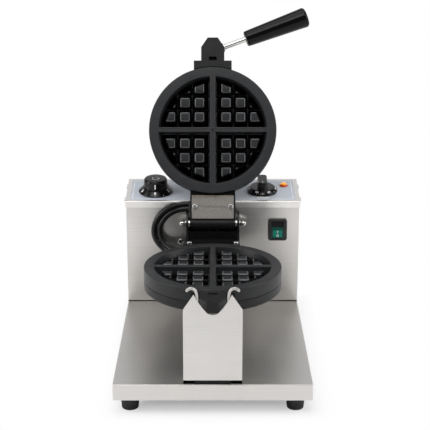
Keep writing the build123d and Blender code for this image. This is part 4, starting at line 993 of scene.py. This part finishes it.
class WAFFLE_OT_spring(Operator):
    """Build the sprung wire with its two hooked ends, and the dark strip of painted shade under the support
    """

    bl_idname = "waffle.spring"
    bl_label = "Sprung Wire and Shading"

    def execute(self, context):
        s = context.scene.waffle_spring
        wire = tube(smooth_path(wire_route(s), 220), s.radius)
        build("sprung_wire", [wire], moved(0, 0, 0), "body", "polished_steel", ["nose_latch_spring"],
              "wire_steel", sharp=60)
        # Painted shade: a dark strip where the slot under the support lies in shade.
        build("support_shade_strip", [support_shade_strip(s)], moved(0, 0, 0), "body", "grip_black")
        return {"FINISHED"}


# Hoses


OUTER_ROUTE = [(-36.25, 288.71, 200.75), (-47.25, 288.71, 200.75), (-63.5, 288.2, 195.7),
               (-78.6, 287.0, 184.8), (-88.6, 286.2, 168.0), (-88.2, 284.8, 149.3), (-78.0, 281.8, 134.8),
               (-65.5, 277.0, 129.0), (-55.05, 273.6, 128.6), (-44.05, 273.6, 128.6)]
INNER_ROUTE = [(-36.25, 285.9, 193.8), (-47.25, 285.9, 193.8), (-60.5, 286.0, 188.8), (-72.5, 285.6, 179.5),
               (-80.2, 284.8, 165.0), (-79.0, 283.8, 150.0), (-69.0, 280.6, 139.4), (-55.05, 273.6, 137.0),
               (-44.05, 273.6, 137.0)]
HOSES = (("outer_hose", OUTER_ROUTE, "hose_outer"), ("inner_hose", INNER_ROUTE, "hose_inner"))


class WaffleHoseSettings(PropertyGroup):
    """Sizes of the hoses"""

    radius: in_mm("Hose radius", "Outer radius of both hoses", 4.1)
    divisions: IntProperty(name="Divisions", description="Rings along each hose", default=160)


class WAFFLE_OT_hoses(Operator):
    """Lay the two lead hoses from the lid's lug to the lower half"""

    bl_idname = "waffle.hoses"
    bl_label = "Hoses"

    def execute(self, context):
        s = context.scene.waffle_hoses
        for name, route, node in HOSES:
            points = placed(route, moved(0, 0, 0))
            path = smooth_path(points.tolist(), s.divisions)
            obj = new_object(name, *tube(path, s.radius * MM, 20, False), material("hose_rubber"), 60)
            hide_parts(node)
            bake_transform(obj)
        return {"FINISHED"}


# Print on the film


class WaffleFilmSettings(PropertyGroup):
    """Place and width of the film's border line"""

    half_width: in_mm("Half width", "Half the width of the border", 121.6)
    low: in_mm("Lower edge", "Lower border line's place up the panel", 7.4)
    high: in_mm("Upper edge", "Upper border line's place up the panel", 77.4)
    line: in_mm("Line", "Width of the border line", 0.9)
    corner: in_mm("Corner", "Radius of the border's corners", 3.0)


class WAFFLE_OT_film(Operator):
    """Print the pale border line on the control film"""

    bl_idname = "waffle.film"
    bl_label = "Film Border"

    def execute(self, context):
        s = context.scene.waffle_film
        w, h, y = 2 * s.half_width, s.high - s.low, (s.high + s.low) / 2
        outer = rounded_section(w, h, s.corner)
        inner = rounded_section(w - 2 * s.line, h - 2 * s.line, s.corner - s.line)
        section = [at_level(outline, z, 0, y) for outline, z in
                   ((inner, 0.25), (inner, 0.34), (outer, 0.34), (outer, 0.25))]
        border = shell(np.stack(section, axis=1), closed_rows=True)
        build("film_border", [border], panel_frame(), "body", "index_white", look="print_white")
        return {"FINISHED"}


# Finishes of the CAD nodes


EDGES = {
    "base_tray": 0.5, "housing_top_cover": 0.25, "rubber_feet": 0.2, "cable_gland": 0.3,
    "terminal_block": 0.3, "yoke": 0.5, "bearing_housing": 0.4, "hinge_acorn_nuts": 0.25,
    "lid_hinge_leaf": 0.3, "handle_rod": 0.3, "lower_heater_casting": 0.8, "lid_heater_casting": 0.8,
    "lower_bottom_cover": 0.3, "lid_back_cover": 0.3, "lower_hose_gland": 0.5, "lid_hose_gland": 0.3,
    "latch_spring_clamp": 0.4, "power_switch_frame": 0.3, "power_switch_rocker": 0.3,
}
FINISH_OF = {"lid_hinge_leaf": "blasted_steel", "housing_shell": "housing_steel",
             "front_support": "support_steel", "nose_latch_spring": "wire_steel"}


class WaffleFinishSettings(PropertyGroup):
    """Colours of the main finishes"""

    steel: colour("Steel", "Colour of the brushed stainless sheets", (0.70, 0.68, 0.655))
    casting: colour("Casting", "Colour of the coated castings", (0.0135, 0.014, 0.015))
    film: colour("Film", "Colour of the control film", (0.50, 0.54, 0.60))


class WAFFLE_OT_finishes(Operator):
    """Give every CAD node its material, and soften the edges of the larger ones"""

    bl_idname = "waffle.finishes"
    bl_label = "Finishes"

    def execute(self, context):
        slots = {entry["node"]: entry["material_slot"] for entry in frame["record"]["subparts"]}
        for name, obj in frame["nodes"].items():
            obj.data.materials.clear()
            obj.data.materials.append(material(FINISH_OF.get(name, slots[name])))
            if name in EDGES:
                weld = obj.modifiers.new("weld", "WELD")
                weld.merge_threshold = 0.00001
                bevel = obj.modifiers.new("edges", "BEVEL")
                bevel.width = EDGES[name] * MM
                bevel.segments = 2
                bevel.limit_method = "ANGLE"
                bevel.angle_limit = math.radians(35)
                bevel.use_clamp_overlap = True
                even_normals(obj)
        return {"FINISHED"}


# Studio


# Width of the photograph in pixels, and the pixel on the camera's axis
PICTURE_WIDTH = 430.0
PICTURE_AXIS = (212.75, 215.58)
CAMERA_PLACE = (0.0, -1319.48, 681.81)


class WaffleStageSettings(PropertyGroup):
    """Camera and lights"""

    lens: FloatProperty(name="Lens", description="Focal length", default=93.97, unit="CAMERA")
    tilt: FloatProperty(name="Tilt", description="Angle of the camera below level", subtype="ANGLE",
                        default=math.radians(17.25))
    key: FloatProperty(name="Key light", description="Power of the front light", default=20.0, unit="POWER")
    fill: FloatProperty(name="Fill light", description="Power of each side light", default=14.0, unit="POWER")
    sky: FloatProperty(name="Surround", description="Strength of the surround in front of the object",
                       default=0.2)


def area_light(name, place, target, size, power):
    """Rectangular lamp at a place in metres, turned to face a target."""
    data = bpy.data.lights.new(name, "AREA")
    data.shape = "RECTANGLE"
    data.size, data.size_y = size
    data.energy = power
    obj = bpy.data.objects.new(name, data)
    bpy.context.scene.collection.objects.link(obj)
    way = Matrix.Translation(place).to_translation() - Matrix.Translation(target).to_translation()
    obj.rotation_euler = way.to_track_quat("Z", "Y").to_euler()
    obj.location = place


def white_surround(strength):
    """Even studio light, stronger from behind, with a plain white background for what the camera sees."""
    world = bpy.data.worlds.new("studio")
    bpy.context.scene.world = world
    world.use_nodes = True
    tree = world.node_tree
    light = tree.nodes["Background"]
    way = link_in(tree, "ShaderNodeTexCoord").outputs["Generated"]
    depth = link_in(tree, "ShaderNodeSeparateXYZ", {"Vector": way}).outputs["Y"]
    feed(light, Color=(0.98, 0.985, 1.0, 1.0),
         Strength=spread(tree, depth, strength, 3.6 * strength, 0.35, 0.9))
    plain = link_in(tree, "ShaderNodeBackground", {"Color": (1, 1, 1, 1), "Strength": 1.0})
    seen = link_in(tree, "ShaderNodeLightPath").outputs["Is Camera Ray"]
    surface = blended(tree, seen, light.outputs["Background"], plain.outputs["Background"])
    feed(tree.nodes["World Output"], Surface=surface)


def floor_finish():
    """Pale floor that keeps the shadow and fades to white with the distance from the base's outline.

    It is a little paler where it is mirrored.
    """
    made, tree, shader = finish(grey(0.93), 0.6)
    where = link_in(tree, "ShaderNodeTexCoord").outputs["Object"]
    half = (BASE_HALF[0] * MM, BASE_HALF[1] * MM, 1.0)
    apart = link_in(tree, "ShaderNodeVectorMath", {0: where}, operation="ABSOLUTE").outputs["Vector"]
    apart = link_in(tree, "ShaderNodeVectorMath", {0: apart, 1: half}, operation="SUBTRACT").outputs["Vector"]
    sides = link_in(tree, "ShaderNodeSeparateXYZ", {"Vector": apart})
    distance = worked(tree, "MAXIMUM", sides.outputs["X"], sides.outputs["Y"])
    rays = link_in(tree, "ShaderNodeLightPath")
    faded = spread(tree, distance, 0.0, 1.0, -0.07, 0.03)
    seen = worked(tree, "MULTIPLY", faded, rays.outputs["Is Camera Ray"])
    glow = link_in(tree, "ShaderNodeEmission", {"Color": (1, 1, 1, 1), "Strength": 1.0})
    surface = blended(tree, seen, shader.outputs["BSDF"], glow.outputs["Emission"])
    feed(tree.nodes["Material Output"], Surface=surface)
    feed(shader, Base_Color=mixed(tree, rays.outputs["Is Glossy Ray"], grey(0.93), grey(0.95)))
    made.name = "floor"
    return made


def white_floor():
    """Broad slab whose upper face is the ground."""
    size, depth = 4000.0, 2.0
    verts, faces = shell([at_level(square_section(size, size), z) for z in (-depth, 0.0)])
    obj = new_object("floor", verts * MM, faces, floor_finish())


class WAFFLE_OT_stage(Operator):
    """Set up the floor, the lights and the camera"""

    bl_idname = "waffle.stage"
    bl_label = "Studio"

    def execute(self, context):
        s = context.scene.waffle_stage
        scene = context.scene
        scene.view_settings.view_transform = "Standard"
        white_surround(s.sky)
        white_floor()
        area_light("front_light", (-0.3, -1.3, 2.3), (0, 0, 0.1), (1.8, 1.0), s.key)
        area_light("left_light", (-1.5, -0.3, 0.9), (0, 0, 0.2), (0.7, 1.4), s.fill)
        area_light("right_light", (1.5, -0.3, 0.9), (0, 0, 0.2), (0.7, 1.4), s.fill)
        area_light("top_light", (0, 0.1, 1.7), (0, 0, 0.2), (1.2, 1.0), 0.5 * s.fill)
        data = bpy.data.cameras.new("camera")
        data.lens = s.lens
        data.sensor_width = 36.0
        data.shift_x = (PICTURE_WIDTH / 2 - PICTURE_AXIS[0]) / PICTURE_WIDTH
        data.shift_y = (PICTURE_AXIS[1] - PICTURE_WIDTH / 2) / PICTURE_WIDTH
        camera = bpy.data.objects.new("camera", data)
        scene.collection.objects.link(camera)
        camera.location = moved(*CAMERA_PLACE).to_translation()
        camera.rotation_euler = (math.pi / 2 - s.tilt, 0, 0)
        scene.camera = camera
        return {"FINISHED"}


class WAFFLE_PT_panel(Panel):
    """Buttons for each group of pieces"""

    bl_idname = "WAFFLE_PT_panel"
    bl_label = "Waffle Maker"
    bl_space_type = "VIEW_3D"
    bl_region_type = "UI"
    bl_category = "Waffle Maker"

    def draw(self, context):
        for operator in OPERATORS:
            self.layout.operator(operator.bl_idname)


GROUPS = {
    "waffle_plates": WafflePlateSettings,
    "waffle_dials": WaffleDialSettings,
    "waffle_switch": WaffleSwitchSettings,
    "waffle_handle": WaffleHandleSettings,
    "waffle_spring": WaffleSpringSettings,
    "waffle_hoses": WaffleHoseSettings,
    "waffle_film": WaffleFilmSettings,
    "waffle_finishes": WaffleFinishSettings,
    "waffle_stage": WaffleStageSettings,
}
OPERATORS = [WAFFLE_OT_stage, WAFFLE_OT_hoses, WAFFLE_OT_finishes, WAFFLE_OT_plates, WAFFLE_OT_dials,
             WAFFLE_OT_switch, WAFFLE_OT_handle, WAFFLE_OT_spring, WAFFLE_OT_film]


def register():
    """Add the settings, the operators and the panel"""
    for name, group in GROUPS.items():
        bpy.utils.register_class(group)
        setattr(bpy.types.Scene, name, PointerProperty(type=group))
    for operator in OPERATORS:
        bpy.utils.register_class(operator)
    bpy.utils.register_class(WAFFLE_PT_panel)


def unregister():
    """Take the panel, the operators and the settings away again"""
    bpy.utils.unregister_class(WAFFLE_PT_panel)
    for operator in reversed(OPERATORS):
        bpy.utils.unregister_class(operator)
    for name, group in GROUPS.items():
        delattr(bpy.types.Scene, name)
        bpy.utils.unregister_class(group)


def main():
    """Build everything in order"""
    register()
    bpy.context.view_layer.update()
    bpy.ops.waffle.stage()
    bpy.ops.waffle.hoses()
    bpy.ops.waffle.finishes()
    bpy.ops.waffle.plates()
    bpy.ops.waffle.dials()
    bpy.ops.waffle.switch()
    bpy.ops.waffle.handle()
    bpy.ops.waffle.spring()
    bpy.ops.waffle.film()


if __name__ == "__main__":
    main()
